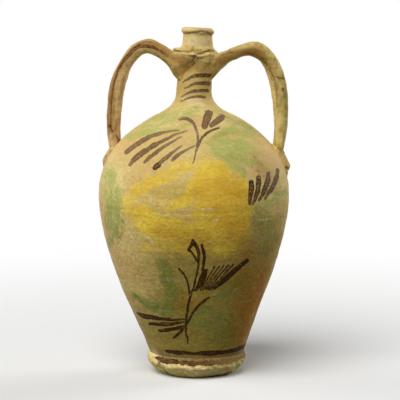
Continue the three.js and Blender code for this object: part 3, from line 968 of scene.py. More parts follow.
YELLOW_WASHES = {
    "ground": (0.3, [(142, 206, 26), (165, 203, 60), (196, 204, 76), (228, 206, 56)]),
    "crown": (0.68, [(160, 173, 8), (178, 167, 12), (200, 165, 15), (218, 168, 15), (234, 178, 12)]),
    "heart": (1.0, [(208, 174, 22), (216, 186, 42), (220, 205, 54), (222, 225, 50), (222, 240, 26)]),
    "left_petal": (0.72, [
        (126, 205, 10), (134, 197, 14), (146, 188, 16), (158, 180, 16), (170, 173, 12),
    ]),
    "sweep": (0.95, [(172, 207, 10), (186, 199, 13), (196, 188, 13), (202, 176, 10)]),
    "low_petal": (0.95, [
        (128, 211, 10), (144, 215, 16), (158, 222, 17), (176, 229, 22), (194, 234, 24), (206, 237, 18),
    ]),
    "fringe": (0.85, [(136, 226, 8), (156, 233, 16), (172, 240, 17), (190, 241, 18)]),
    "run_off": (0.5, [(146, 246, 10), (178, 250, 13), (206, 250, 12), (234, 248, 12)]),
    "right_petal": (0.9, [(240, 183, 10), (245, 200, 10), (246, 220, 10), (242, 238, 10)]),
    "drip": (0.7, [(257, 275, 3), (261, 275.4, 3.5)]),
}
OCHRE_WASHES = {
    "heart": (0.5, [(202, 190, 14), (226, 200, 34), (236, 215, 34), (238, 232, 26)]),
    "low": (0.6, [(157, 232, 9), (172, 234, 14), (200, 240, 18)]),
    "crown_side": (0.4, [(222, 176, 12), (236, 190, 14)]),
}
RUST_WASHES = {
    "right_edge": (1.0, [(264, 274, 14), (259, 290, 22), (251, 315, 22), (244, 338, 14)]),
    "right_edge_high": (0.4, [(278, 236, 8), (269, 258, 14)]),
    "right_olive": (0.3, [(253, 208, 8), (259, 218, 14), (266, 226, 16), (276, 216, 12)]),
    "lip": (0.5, [(195, 30.6, 2.4), (204, 31.6, 3.4), (212, 35, 3)]),
    "right_middle": (0.5, [(248, 250, 18), (242, 300, 18), (232, 335, 12)]),
    "right_shoulder": (0.5, [(256, 156, 10), (264, 168, 14), (272, 184, 10)]),
    "sprig": (0.45, [(208, 139, 3), (218, 137, 3), (226, 134, 3)]),
    "plant_ground": (0.45, [(181, 296, 8), (182, 306, 12), (199, 302, 10), (204, 297, 6)]),
    "neck_top": (0.45, [(184, 74, 5), (189, 69, 8), (196, 65, 8), (203, 70, 6)]),
}
# Pale places, mostly painted light: painted highlights on the spout, the neck's base and the foot's left
# end
PALE_WASHES_AND_HIGHLIGHTS = {
    "spout": (1.2, [(192, 38, 6), (192, 42, 9), (195, 46, 8)]),
    # Painted light on the right half of the spout
    "spout_right": (0.8, [(201, 37, 7), (205, 42, 9), (205, 48, 8)]),
    "neck_base": (0.8, [(187, 99, 4), (196, 101, 6), (203, 105, 5)]),
    "petal_spot": (0.7, [(146, 196, 5), (151, 201, 7)]),
    "shoulder": (0.35, [(160, 124, 6), (178, 121, 8), (190, 126, 8)]),
    "foot_left": (1.8, [(150, 351, 5), (153, 357, 9), (160, 363, 7), (172, 366.6, 5)]),
    # Painted light from below on the foot's coil, in this wash and the next
    "foot_low": (1.6, [(164, 364, 6), (180, 368, 7), (195, 370.4, 8), (206, 371, 6)]),
    "foot_smear": (0.8, [(200, 375, 4), (210, 374, 6), (222, 373, 6), (232, 368, 5)]),
}

# The painted groove of the left handle and the end of a stripe, as (column, row, width)
HANDLE_STROKES = {
    "neck_stripe_end": [(200, 75.5, 4), (206, 75.3, 4), (209.6, 75.4, 3.6)],
    "left_groove": [
        (168, 56, 1.4), (160, 50.6, 2.6), (152, 47, 3.2), (144, 45.8, 3.4), (136.6, 47.6, 3.4),
        (126, 58.4, 3), (118, 71.8, 2.4), (112.8, 90, 1.6), (111, 113, 1.3), (111.3, 128, 1.3),
        (112, 132, 1),
    ],
}

# Stains of the handles, wads and collar, some with painted shade, as washes
HANDLE_STAINS_AND_SHADE = {
    # Painted shade under the collar's rim, with a brown patch
    "left_cup": (1.0, [(174, 60, 8), (182, 62, 14), (191, 64, 12), (186, 74, 10)]),
    "left_top": (1.0, [
        (174, 59, 8), (164, 50.6, 8), (152, 44.6, 8), (139, 44, 4), (126.4, 56.4, 4), (118.6, 69, 4),
    ]),
    "left_outer": (0.9, [(120, 62, 6), (112, 79, 5), (107.6, 100, 5), (107, 134, 5)]),
    "left_groove": (0.9, [
        (172, 60, 3), (152, 47.4, 4), (138, 47.6, 4), (119, 71, 4), (112.6, 95, 5), (111, 130, 5),
    ]),
    "left_edge": (0.5, [(124, 80, 2), (121.4, 100, 2), (120.6, 130, 2), (119, 142, 4)]),
    "right_cup_low": (0.4, [(202, 70, 6), (209, 71, 7), (216, 66, 6)]),
    "right_cup_side": (1.2, [(215, 65, 5), (221, 60, 7), (228, 55, 7), (236, 52, 5)]),
    # Painted shade with a stain along the right handle's outer edge
    "right_outer_edge": (0.7, [(285.6, 80, 3), (287, 96, 3), (287.4, 116, 2.4)]),
    # Stains and painted shade under the right arch
    "right_top": (1.25, [(231, 53, 6), (242, 52, 6), (256, 52, 9), (265, 60, 6)]),
    "right_arch": (0.4, [(238, 48, 6), (256, 45, 7), (267, 52, 6)]),
    "right_patch": (0.6, [(263, 51, 5), (269, 62, 5), (277, 76, 6), (280, 80, 4)]),
    # Painted shade on the inner side of the right handle
    "right_inner": (0.7, [(266, 63, 4), (272, 74, 4), (276.4, 86, 3), (278, 96, 2)]),
    "right_bend": (0.6, [(284.6, 95, 4), (281, 99.6, 5), (279, 106, 4)]),
    "right_root": (0.6, [(280, 150, 3), (285, 158, 5), (288, 166, 5)]),
    "left_root": (0.7, [(116.4, 120, 3), (114.6, 130, 5), (114, 138, 4)]),
    "collar": (0.4, [(183, 50.4, 3), (192, 50.6, 4), (200, 52, 3)]),
}
# Pale places; right_flap and right_cup are painted light on the right cup
HANDLE_PALES_AND_HIGHLIGHTS = {
    "right_flap": (0.9, [(198, 59, 5), (207, 57.6, 6), (215, 55.6, 6), (224, 51, 4)]),
    "right_cup": (1.1, [(199, 63, 6), (206, 64, 8), (210, 60.6, 6)]),
    "right_outer": (0.9, [(274, 65, 4), (279, 84, 5), (280, 100, 5), (281, 120, 6), (281, 138, 7)]),
    # Painted highlight along the left handle's inner side
    "left_inner": (1.2, [
        (158, 55, 4), (149, 52.6, 5), (139, 54.6, 7), (130, 62, 7), (121, 84, 5), (118.6, 108, 4),
    ]),
    # Painted highlight along the right handle's inner flank
    "right_flank": (1.3, [
        (259, 59.4, 3), (264, 65, 3.4), (268.6, 74, 3.6), (271.6, 84, 3), (273.8, 96, 2),
    ]),
    "right_yellow": (0.8, [(279.4, 82.6, 4), (283, 87, 4)]),
    "right_low": (0.9, [(277, 104, 5), (278, 120, 8), (280, 138, 9)]),
    "left_rim": (0.6, [(174, 52, 3), (182, 53, 4), (191, 54, 3)]),
    "left_root": (0.9, [(110, 137, 3), (111.6, 142, 5), (112.6, 147, 4)]),
    "left_crest": (0.8, [(137, 43.4, 3), (130, 47.8, 4), (123, 56, 3)]),
    "left_fleck": (0.6, [(174, 57, 4), (179, 59, 5)]),
    "collar_ledge": (1.0, [(173, 50, 3), (179, 49, 4), (185, 47.6, 3)]),
    "collar_right": (0.8, [(198, 47.4, 3), (206, 47.6, 5), (214, 49, 4)]),
}

# Creases are also darkened with painted shade in the material
# Creases and ridges, as a depth in millimetres and (column, row, width) in pixels
BODY_CREASES = {
    "lip_groove": (1.0, [
        (184.3, 34, 1.2), (192, 33.4, 1.6), (199, 31.9, 1.6), (206, 32.2, 1.8), (212.5, 35.4, 2),
    ]),
}
BODY_RIDGES = {
    "lip_wear": (0.2, [(185, 30.6, 2.6), (194, 29.6, 3.4), (208, 29.6, 2.6)]),
}
CLAY_CREASES = {
    "collar_edge_left": (1.2, [
        (176, 51.6, 1), (182, 51.4, 1.4), (188, 51.8, 1.4), (192, 51, 1.2), (197, 53.6, 1.6),
    ]),
    "collar_edge_right": (1.6, [
        (198, 54, 1.8), (203, 53, 1.8), (207, 51.4, 1.6), (212, 50.8, 1.4), (219, 51.6, 1),
    ]),
    "collar_fold": (0.8, [(191, 49.6, 0.8), (196, 50.4, 1), (201, 50.8, 0.8)]),
    "cup_seam": (1.2, [(195.4, 55.4, 0.9), (193.8, 57.6, 1), (193.2, 60.6, 0.9), (195.6, 65.4, 0.9)]),
    "cup_fold": (0.7, [(198.8, 57.4, 0.6), (197.4, 60, 0.7), (197.8, 62.6, 0.5)]),
    "left_root": (1.2, [(117, 137, 1.4), (119, 141, 1.6), (119.6, 144, 1)]),
    "left_notch": (1.6, [(109.5, 126, 2.2), (112, 132, 2.8)]),
    "right_strap_fold": (0.9, [(221, 55, 1.2), (227, 53.4, 1.8), (233, 52.8, 1.2)]),
    "right_crack": (0.5, [(277, 77.5, 1.2), (281, 79, 1.8), (286, 79.5, 1)]),
    "right_flank_edge": (0.4, [
        (262, 58.6, 0.9), (268.4, 67, 1.1), (273.6, 79, 1.1), (276, 92, 1), (276.6, 108, 0.8),
    ]),
    "right_pit": (1.2, [(283, 89.4, 1.8), (283.6, 90.6, 1.8)]),
    "right_root": (1.0, [(279, 149, 1), (281.5, 151.5, 1.4), (284, 152, 1)]),
    "right_hollow": (1.4, [(286.6, 168, 2), (288.4, 169.4, 2.4)]),
}
CLAY_RIDGES = {
    "rim_left": (0.8, [(175.5, 53.8, 2.2), (182, 53.4, 2.6), (188, 54.2, 2.2), (193, 55, 1.6)]),
    "rim_right": (1.0, [
        (198.6, 57, 1.8), (205, 56.4, 2.6), (211, 55, 3.2), (216, 53, 3.2), (221, 52.4, 2.4),
    ]),
    "right_strap_top": (0.6, [(219, 52.4, 2), (226, 50, 2.4), (234, 47.4, 2)]),
    "seam_curl": (0.7, [(196.8, 56.4, 1), (196, 59.6, 1.1), (196.6, 63, 0.8)]),
    "right_inner_edge": (0.2, [(258, 58, 1.4), (266, 70, 1.6), (270, 84, 1.6), (272.6, 100, 1.4)]),
}

# Scratches and chips, as (column, row, width) in pixels
DARK_MARKS = {
    "left_scratch": [(117, 238.6, 1.2), (120, 236, 1.5), (123.4, 233, 1)],
    "left_flecks": [(118.5, 215, 0.8), (122, 220, 1.6), (125.5, 226, 1)],
    "right_seam": [(253, 223, 0.9), (258, 223.3, 1.2), (263, 222.8, 0.9)],
    "right_seam_end": [(276, 217.6, 0.8), (280.6, 216.8, 1.3), (284, 216.4, 1)],
    "right_seam_high": [(254, 212.4, 0.7), (264, 212.8, 0.9), (272, 212.2, 0.7)],
    "right_shoulder": [(250, 166, 0.8), (256, 170, 1.2), (263, 172, 1)],
}
PALE_MARKS = {
    "seam_scratch": [(199.5, 209.4, 1.4), (206, 208.6, 2), (213.5, 208.9, 1.3)],
    "seam_chip": [(213, 221, 1.5), (217, 220, 1.7)],
    "left_chips": [(144, 236.4, 1.6), (148, 237.6, 1.6), (154, 243.6, 1.6)],
    "right_seam": [(255, 219.6, 0.6), (263, 219.8, 0.8), (272, 218.6, 0.6)],
}

# Painted rings round the heel and the foot, in millimetres, with shares for the load, gap and fade
BANDS = {
    "heel": {
        "height": 33.4, "half_width": 2.9, "ragged": 0.9, "load": 2.6,
        "left_end": -36, "gap": 0.9, "lift": 0.4, "fade": 0,
    },
    "foot": {
        "height": 21, "half_width": 3.2, "ragged": 2.2, "load": 1.35,
        "left_end": -46, "gap": 0, "lift": 1.2, "fade": 0.8,
    },
}
BAND_RADIUS = 60
BAND_END = {"wear_and_hollow_shade": 4, "reach": 6}
BAND_GAP_WIDTH = 9
BAND_FADE = (0, 35)
BAND_LEAST_FLECK = -0.2
BAND_USUAL_LOAD = 0.75

# How the brush lays strokes and washes, in pixels of the photograph
NO_COVER = -9
FAR_OUTSIDE = -1000
STROKE_MARGIN = 4
SHORTEST_STEP = 1e-6
STROKE_THICKNESS = {"least": 0.4, "widths": (1.2, 5)}
HANDLE_STROKE_LOAD = 1.05
RUN_OFFSET = 97
HAND_WOBBLE = {"reach": 0.45, "size": 6, "seed": 41}
CLAY_WOBBLE = {"reach": 0.8, "size": 5, "seed": 46}
WASH_WOBBLE = {"reach": 3.5, "size": 18, "seed": 43}
WASH_SOFTNESS = {"least": 3, "most": 9, "share": 0.5, "inner": 0.8}
CREASE_SIDES = (-0.9, 0.7)
MARK_SIDES = (-0.5, 0.5)

# How squarely a surface must face the photograph's camera for a layer to start and to be full
CREASE_FACING = (0.08, 0.3)
WASH_FACING = (0.02, 0.3)
HANDLE_FACING = (0.02, 0.2)

# Where the cups' colour and painted shade start and are full: distances from the neck's axis and heights
CUP_REACH = (44, 26)
CUP_HEIGHTS = (346, 356)


def photo_place(points):
    """Column and row of points in the photograph."""
    x, y, z = points.T
    back = y - EYE[1]
    below = EYE[2] - z
    depth = back * math.cos(EYE_TILT) + below * math.sin(EYE_TILT)
    down = below * math.cos(EYE_TILT) - back * math.sin(EYE_TILT)
    centre = FRAME_PIXELS / 2
    return centre + FOCAL_PIXELS * (x - EYE[0]) / depth, centre + FOCAL_PIXELS * down / depth


def stroke_field(places, knots, margin):
    """Which places lie near a stroke, and their cover, way along it, side and its width, in pixels."""
    line = curve_through(knots)
    start, step = line[:-1], np.diff(line, axis=0)
    reach = margin + line[:, 2].max() / 2
    near = np.all((places > line[:, :2].min(0) - reach) & (places < line[:, :2].max(0) + reach), axis=1)
    offset = places[near][:, None, :] - start[None, :, :2]
    length = np.linalg.norm(step[:, :2], axis=1) + SHORTEST_STEP
    share = np.clip((offset * step[:, :2]).sum(2) / length**2, 0, 1)
    gap = offset - share[..., None] * step[:, :2]
    width = start[:, 2] + share * step[:, 2]
    cover = width / 2 - np.linalg.norm(gap, axis=2)
    run = np.concatenate([[0], np.cumsum(length)[:-1]]) + share * length
    side = (step[:, 0] * gap[..., 1] - step[:, 1] * gap[..., 0]) / length
    best = np.arange(len(cover)), cover.argmax(axis=1)
    return near, cover[best], run[best], side[best], width[best]


def keep_larger(field, near, rows):
    """Puts rows into a field at near places where their first value is the larger one."""
    better = rows[:, 0] > field[near, 0]
    field[np.flatnonzero(near)[better]] = rows[better]


def painted_strokes(places, strokes):
    """Largest cover of any stroke at each place, with the way along that stroke, the side and its load."""
    field = np.zeros((len(places), 4))
    field[:, 0] = NO_COVER
    least = STROKE_THICKNESS["least"]
    for number, (load, knots) in enumerate(strokes):
        near, cover, run, side, width = stroke_field(places, knots, STROKE_MARGIN)
        thickness = least + (1 - least) * smoothstep(width, *STROKE_THICKNESS["widths"])
        keep_larger(field, near, columns(cover, run + RUN_OFFSET * number, side, load * thickness))
    return field


def painted_washes(places, washes):
    """Strength of the strongest wash at each place, with the way along it and the side."""
    field = np.zeros((len(places), 3))
    for number, (strength, knots) in enumerate(washes.values()):
        widest = max(width for _, _, width in knots)
        soft = np.clip(WASH_SOFTNESS["share"] * widest, WASH_SOFTNESS["least"], WASH_SOFTNESS["most"])
        near, cover, run, side, _ = stroke_field(places, knots, soft)
        amount = strength * smoothstep(cover, -soft, soft * WASH_SOFTNESS["inner"])
        keep_larger(field, near, columns(amount, run + RUN_OFFSET * number, side))
    return field


def bristle_lines():
    """Thin parallel lines of a dry brush."""
    (a, b), (c, d) = BRISTLE_STROKE["from"], BRISTLE_STROKE["to"]
    for share in np.linspace(0, 1, BRISTLE_STROKE["count"]):
        start = np.array(a) + (np.array(b) - a) * share
        end = np.array(c) + (np.array(d) - c) * share
        middle = (start + end) / 2
        yield [(*place, width) for place, width in zip((start, middle, end), BRISTLE_STROKE["widths"])]


def loaded_strokes():
    """Every brown stroke of the ornament with its load of colour."""
    for name, knots in BROWN_STROKES.items():
        yield next(load for group, load in STROKE_LOADS.items() if name.startswith(group)), knots
    for knots in bristle_lines():
        yield BRISTLE_STROKE["load"], knots


def store(piece, name, values):
    kind, field = ("FLOAT", "value") if values.ndim == 1 else ("FLOAT_VECTOR", "vector")
    layer = piece.data.attributes.new(name, kind, "POINT")
    layer.data.foreach_set(field, values.ravel())


def band_field(points, height, half_width, ragged, load, left_end, gap, lift, fade):
    """Cover, way round, side and load of a painted ring, worn away on the left and thin in the middle."""
    x, y, z = points.T
    across = z - height - lift * smoothstep(x, 0, left_end) - layered(points, "band_sway")
    ended = smoothstep(x, left_end + BAND_END["reach"], left_end - BAND_END["reach"])
    flecks = np.maximum(layered(points, "band_flecks"), BAND_LEAST_FLECK)
    worn = BAND_END["wear_and_hollow_shade"] * ended + ragged * flecks
    worn += gap * hump(x / BAND_GAP_WIDTH) * (1 + layered(points, "band_gap"))
    cover = half_width * (1 + layered(points, "band_width")) - np.abs(across) - worn
    uneven = BAND_USUAL_LOAD + layered(points, "band_load")
    strength = load * uneven * (1 - fade * smoothstep(x, *BAND_FADE))
    return columns(cover, np.arctan2(y, x) * BAND_RADIUS, across, strength)


def facing_share(piece):
    """How squarely each point of a piece faces the photograph's camera, from -1 to 1."""
    towards = EYE - points_of(piece)
    towards /= np.linalg.norm(towards, axis=1, keepdims=True)
    return (towards * normals_of(piece)).sum(axis=1)


def front_places(piece, hollow):
    """Places of a piece's points in the photograph, far outside it if they face away or lie inside."""
    points = points_of(piece)
    hidden = facing_share(piece) <= 0
    if hollow:
        hidden |= (points[:, :2] * normals_of(piece)[:, :2]).sum(axis=1) < 0
    places = columns(*photo_place(points))
    places += wobble(points, **HAND_WOBBLE)
    places[hidden] = FAR_OUTSIDE
    return places


def raise_to(values, near, amounts):
    """Keeps the larger of the values at near places and the given amounts."""
    values[near] = np.maximum(values[near], amounts)


def press(piece, places, creases, ridges):
    """Presses the creases into the front of a piece, raises the ridges, and marks both for the material."""
    points = points_of(piece)
    places = places + wobble(points, **CLAY_WOBBLE)
    lumps = 1 + layered(points, "crease_lumps")
    fade = smoothstep(facing_share(piece), *CREASE_FACING)
    for name, lines, way in (("crease", creases, -1), ("ridge", ridges, 1)):
        depth, mark = np.zeros((2, len(places)))
        for reach, knots in lines.values():
            near, cover, *_ = stroke_field(places, knots, margin=2)
            share = smoothstep(cover, *CREASE_SIDES) * fade[near]
            raise_to(depth, near, reach * share)
            raise_to(mark, near, share)
        store(piece, name, mark)
        move_points(piece, points_of(piece) + normals_of(piece) * (way * depth * lumps)[:, None])


def mark_edges(piece):
    """Marks how far each point stands out from the smoothed surface round it, in millimetres."""
    away = points_of(piece) - smoothed(piece, EDGE_ROUNDS)
    store(piece, "edge", (away * normals_of(piece)).sum(axis=1))


def store_marks(piece, places):
    """Marks the scratches and chips on the front of a piece."""
    for name, lines in (("dark_mark", DARK_MARKS), ("pale_mark", PALE_MARKS)):
        mark = np.zeros(len(places))
        for knots in lines.values():
            near, cover, *_ = stroke_field(places, knots, margin=1)
            raise_to(mark, near, smoothstep(cover, *MARK_SIDES))
        store(piece, name, mark)


def store_strokes(piece, field):
    store(piece, "brown", field[:, :3])
    store(piece, "brown_load", field[:, 3])


def paint_body(piece, detail, band=None):
    """Lays the ornament on the front of a turned piece, as values that its material reads."""
    places = front_places(piece, hollow=True)
    press(piece, places, BODY_CREASES, BODY_RIDGES)
    store_marks(piece, places)
    points = points_of(piece)
    store(piece, "edge", detail(points))
    drift = places + wobble(points, **WASH_WOBBLE)
    fade = smoothstep(facing_share(piece) + layered(points, "wash_edge"), *WASH_FACING)
    brown = painted_strokes(places, loaded_strokes())
    if band:
        ring = band_field(points, **band)
        brown = np.where(ring[:, :1] > brown[:, :1], ring, brown)
    store_strokes(piece, brown)
    for name, washes in (("green", GREEN_WASHES), ("yellow", YELLOW_WASHES)):
        field = painted_washes(drift, washes)
        field[:, 0] *= fade
        store(piece, name, field)
    for name, washes in (("ochre", OCHRE_WASHES), ("rust", RUST_WASHES), ("pale", PALE_WASHES_AND_HIGHLIGHTS)):
        store(piece, name, painted_washes(drift, washes)[:, 0] * fade)


def paint_handle(piece):
    """Lays the painted groove, stains, pale places and painted light and shade on a handle, wad or collar.
    """
    places = front_places(piece, hollow=False)
    press(piece, places, CLAY_CREASES, CLAY_RIDGES)
    mark_edges(piece)
    strokes = [(HANDLE_STROKE_LOAD, knots) for knots in HANDLE_STROKES.values()]
    store_strokes(piece, painted_strokes(places, strokes))
    points = points_of(piece)
    store(piece, "cup", near_neck(points, *CUP_REACH) * smoothstep(points[:, 2], *CUP_HEIGHTS))
    fade = smoothstep(facing_share(piece), *HANDLE_FACING)
    for name, washes in (("stain", HANDLE_STAINS_AND_SHADE), ("pale", HANDLE_PALES_AND_HIGHLIGHTS)):
        store(piece, name, painted_washes(places, washes)[:, 0] * fade)


# Materials

# Colours of the glazes, paints, clay and dirt
CREAM = (0.72, 0.57, 0.225, 1)
BUFF = (0.62, 0.445, 0.145, 1)
PINK = (0.69, 0.43, 0.175, 1)
OLIVE = (0.345, 0.25, 0.035, 1)
YELLOW = (0.87, 0.61, 0.055, 1)
OCHRE = (0.70, 0.38, 0.02, 1)
GREEN = (0.40, 0.44, 0.11, 1)
DEEP_GREEN = (0.18, 0.225, 0.045, 1)
BROWN = (0.315, 0.205, 0.116, 1)
STROKE_RED = (0.33, 0.165, 0.05, 1)
DARK_BROWN = (0.042, 0.018, 0.004, 1)
RED_BROWN = (0.27, 0.135, 0.04, 1)
RUST = (0.325, 0.14, 0.008, 1)
# Dark olive brown of grime in mottles, streaks and spots, also of painted shade low on the belly
GRIME_AND_SHADE = (0.27, 0.19, 0.035, 1)
CHIP = (0.80, 0.70, 0.46, 1)
# Dark brown of painted shade in creases and hollows, and of scratches
CREASE_SHADE_AND_SCRATCHES = (0.12, 0.075, 0.022, 1)
# Pale worn clay, also the colour of painted highlights on the spout and the neck's base
WORN_AND_HIGHLIGHT = (0.80, 0.63, 0.34, 1)
HANDLE_GLAZE = (0.72, 0.54, 0.17, 1)
HANDLE_BROWN = (0.5, 0.275, 0.095, 1)
HANDLE_GREEN = (0.56, 0.46, 0.11, 1)
CUP_BUFF = (0.63, 0.43, 0.13, 1)
NECK_TAN = (0.60, 0.37, 0.105, 1)
# Brown of stains and flecks, also of painted shade on the handles
STAIN_AND_SHADE = (0.34, 0.18, 0.05, 1)
HANDLE_PALE = (0.84, 0.63, 0.28, 1)
HANDLE_PINK = (0.74, 0.47, 0.23, 1)
GROOVE_RED = (0.36, 0.155, 0.04, 1)
PALE_CLAY = (0.93, 0.74, 0.33, 1)
# Light clay of painted light from below on the foot's coil
LIT_COIL_CLAY = (0.95, 0.78, 0.24, 1)
# Dark brown of painted shade in the joint of the body and the foot
FOOT_SHADE = (0.21, 0.135, 0.05, 1)
SPOUT_YELLOW = (0.78, 0.61, 0.23, 1)
FLOOR_TONES = ((0.84, 0.84, 0.83, 1), (0.86, 0.86, 0.85, 1))
FLOOR_UNSEEN = (0.22, 0.22, 0.2, 1)
WHITE = (1, 1, 1, 1)

# Tones laid where a value lies in a span, as (colour, span, strength); heights and sides in metres
# The first height tone is painted shade, darker towards the bottom of the belly
HEIGHT_TONES = [
    (GRIME_AND_SHADE, (0.13, 0.03), 0.75), (NECK_TAN, (0.325, 0.35), 0.6), (SPOUT_YELLOW, (0.388, 0.398), 0.75),
]
MOTTLE_TONES = [(GRIME_AND_SHADE, (0.52, 0.72), 0.3), (WORN_AND_HIGHLIGHT, (0.44, 0.28), 0.25)]
SPOT_TONES = [(CREAM, (0.53, 0.68), 0.6), (GRIME_AND_SHADE, (0.48, 0.34), 0.75)]
FLECK_TONES = [(STAIN_AND_SHADE, (0.51, 0.62), 0.65), (HANDLE_PALE, (0.48, 0.37), 0.55)]
FOOT_STAIN_TONES = [(DEEP_GREEN, (0.50, 0.62), 0.4)]
FOOT_MOTTLE_TONES = [(GRIME_AND_SHADE, (0.54, 0.72), 0.3)]
# Olive towards the heel: the glaze's own tone with painted shade, spared on the lit left side
OLIVE_HEIGHT = (0.235, 0.12)
OLIVE_SIDE = (-0.005, -0.075)
WEATHERED_HEIGHT = (0.30, 0.14)
LEAF_HEIGHT = (0.24, 0.13)
# Painted shade on the lower belly, least on the lit left side
BELLY_SHADE = {"top": (0.215, 0.15), "bottom": (0.09, 0.14), "side": (-0.075, -0.02)}
# Painted shade in the joint of the body and the foot, spared at the foot's lit left end
FOOT_SHADE_SIDE = (-0.052, -0.036)
HEEL_SHADE_HEIGHT = (0.038, 0.028)
LUTED_HEIGHT = (0.0205, 0.024)
# Painted light from below on the lower part of the coil
LIT_COIL_HEIGHT = (0.015, 0.008)
SEAM_REACH = (0.007, 0.001)
PINK_SIDE = (-0.02, -0.06)
BROWN_SIDE = (-0.094, -0.106)
FLOOR_FADE = (0.25, 1.2)

# Specular level of the worn glaze and the floor
SHEEN_LEVEL = 0.045


class Nodes:
    """Short ways to add the nodes of one tree."""

    def __init__(self, tree):
        self.tree = tree

    def put(self, socket, value):
        if isinstance(value, bpy.types.NodeSocket):
            self.tree.links.new(value, socket)
        else:
            socket.default_value = value

    def node(self, kind, inputs, **settings):
        node = self.tree.nodes.new("ShaderNode" + kind)
        for setting, value in settings.items():
            setattr(node, setting, value)
        for name, value in inputs.items():
            self.put(node.inputs[name], value)
        return node

    def math(self, operation, first, second=0.0, clamp=False):
        return self.node("Math", {0: first, 1: second}, operation=operation, use_clamp=clamp).outputs[0]

    def times(self, *factors):
        product, *others = factors
        for factor in others:
            product = self.math("MULTIPLY", product, factor)
        return product

    def plus(self, first, second, clamp=False):
        return self.math("ADD", first, second, clamp)

    def minus(self, first, second):
        return self.math("SUBTRACT", first, second)

    def between(self, value, low, high):
        inputs = {"Value": value, "From Min": low, "From Max": high}
        return self.node("MapRange", inputs, interpolation_type="SMOOTHSTEP").outputs["Result"]

    def directly_seen(self):
        """1 for the rays of the camera, of reflections and through glass."""
        path = self.node("LightPath", {}).outputs
        seen = self.math("MAXIMUM", path["Is Camera Ray"], path["Is Glossy Ray"])
        return self.math("MAXIMUM", seen, path["Is Transmission Ray"])


class Shader(Nodes):
    """The nodes of one material."""

    def __init__(self, name):
        self.material = bpy.data.materials.new(name)
        self.material.use_nodes = True
        super().__init__(self.material.node_tree)
        self.surface = self.tree.nodes["Principled BSDF"]
        self.surface.inputs["Specular IOR Level"].default_value = SHEEN_LEVEL
        self.place = self.node("TexCoord", {}).outputs["Object"]
        self.side, _, self.height = self.split(self.place)

    def stretched(self, scale):
        return self.node("Mapping", {"Vector": self.place, "Scale": scale}).outputs["Vector"]

    def noise(self, scale, detail=4, roughness=0.55, place=None):
        inputs = {"Vector": place or self.place, "Scale": scale, "Detail": detail, "Roughness": roughness}
        return self.node("TexNoise", inputs).outputs["Fac"]

    def cells(self, scale):
        inputs = {"Vector": self.place, "Scale": scale, "Randomness": 1.0}
        return self.node("TexVoronoi", inputs).outputs

    def attribute(self, name, output="Fac"):
        return self.node("Attribute", {}, attribute_name=name).outputs[output]

    def split(self, vector):
        return self.node("SeparateXYZ", {"Vector": vector}).outputs

    def brushed(self, run, side, along, across):
        """Place along and across a brush stroke, scaled each way."""
        inputs = {"X": self.times(run, along), "Y": self.times(side, across)}
        return self.node("CombineXYZ", inputs).outputs[0]

    def mix(self, share, first, second):
        return self.node("Mix", {0: share, 6: first, 7: second}, data_type="RGBA").outputs[2]

    def tint(self, colour, over, *shares):
        """A colour with another over it, as far as the product of the shares."""
        return self.mix(self.times(*shares), colour, over)

    def toned(self, colour, value, tones):
        for tone, span, strength in tones:
            colour = self.tint(colour, tone, self.between(value, *span), strength)
        return colour

    def scaled(self, colour, factor):
        inputs = {"Vector": colour, "Scale": factor}
        return self.node("VectorMath", inputs, operation="SCALE").outputs["Vector"]

    def bump(self, height, distance, below=None):
        inputs = {"Height": height, "Distance": distance * MM, "Strength": 1.0}
        if below:
            inputs["Normal"] = below
        return self.node("Bump", inputs).outputs["Normal"]

    def finish(self, colour, roughness, normal):
        for name, value in (("Base Color", colour), ("Roughness", roughness), ("Normal", normal)):
            self.put(self.surface.inputs[name], value)
        return self.material


def speckle(shader, scale, size, share):
    """Scattered dots: cells of a grid with a dot of the given size in some of them."""
    cells = shader.cells(scale)
    dot = shader.between(cells["Distance"], size, size * 0.4)
    return shader.times(dot, shader.math("LESS_THAN", shader.split(cells["Color"])[0], share))


def clay_base(shader):
    """Buff glaze with cream and pink patches, darker and greener towards the heel partly as painted shade.
    """
    patches = shader.noise(16, detail=6, roughness=0.6)
    blush = shader.noise(13, detail=5, place=shader.stretched((1, 1, 1.6)))
    # Less olive and painted shade on the lit left side
    spared = shader.minus(1.0, shader.times(shader.between(shader.side, *OLIVE_SIDE), 0.8))
    pale_breakup = shader.between(shader.noise(120, detail=7), 0.7, 0.4)
    colour = shader.mix(shader.between(patches, 0.36, 0.64), BUFF, CREAM)
    colour = shader.tint(colour, PINK, shader.between(blush, 0.44, 0.66), 0.7)
    colour = shader.tint(colour, OLIVE, shader.between(shader.height, *OLIVE_HEIGHT), 0.85, spared)
    colour = shader.toned(colour, shader.height, HEIGHT_TONES)
    # Pale places: mostly painted highlights, and painted light on the spout's right
    return shader.tint(colour, WORN_AND_HIGHLIGHT, shader.attribute("pale"), pale_breakup)


def weathered(shader, colour):
    """Wheel streaks, grime and fine grain over a glaze and its washes, stronger low on the body."""
    streaks = shader.noise(95, detail=6, roughness=0.62, place=shader.stretched((0.14, 0.14, 1)))
    mottle = shader.noise(120, detail=7, roughness=0.68)
    grain = shader.noise(360, detail=4, roughness=0.65, place=shader.stretched((0.6, 0.6, 1)))
    low = shader.between(shader.height, *WEATHERED_HEIGHT)
    streaked = shader.plus(shader.times(low, 0.14), 0.12)
    colour = shader.tint(colour, GRIME_AND_SHADE, shader.between(streaks, 0.50, 0.68), streaked)
    colour = shader.tint(colour, WORN_AND_HIGHLIGHT, shader.between(streaks, 0.46, 0.32), 0.1)
    colour = shader.toned(colour, mottle, MOTTLE_TONES)
    depth = shader.plus(shader.times(low, 0.9), 0.5)
    rough = shader.minus(shader.plus(grain, shader.times(mottle, 0.5)), 0.75)
    return shader.scaled(colour, shader.plus(shader.times(rough, depth), 1.0))


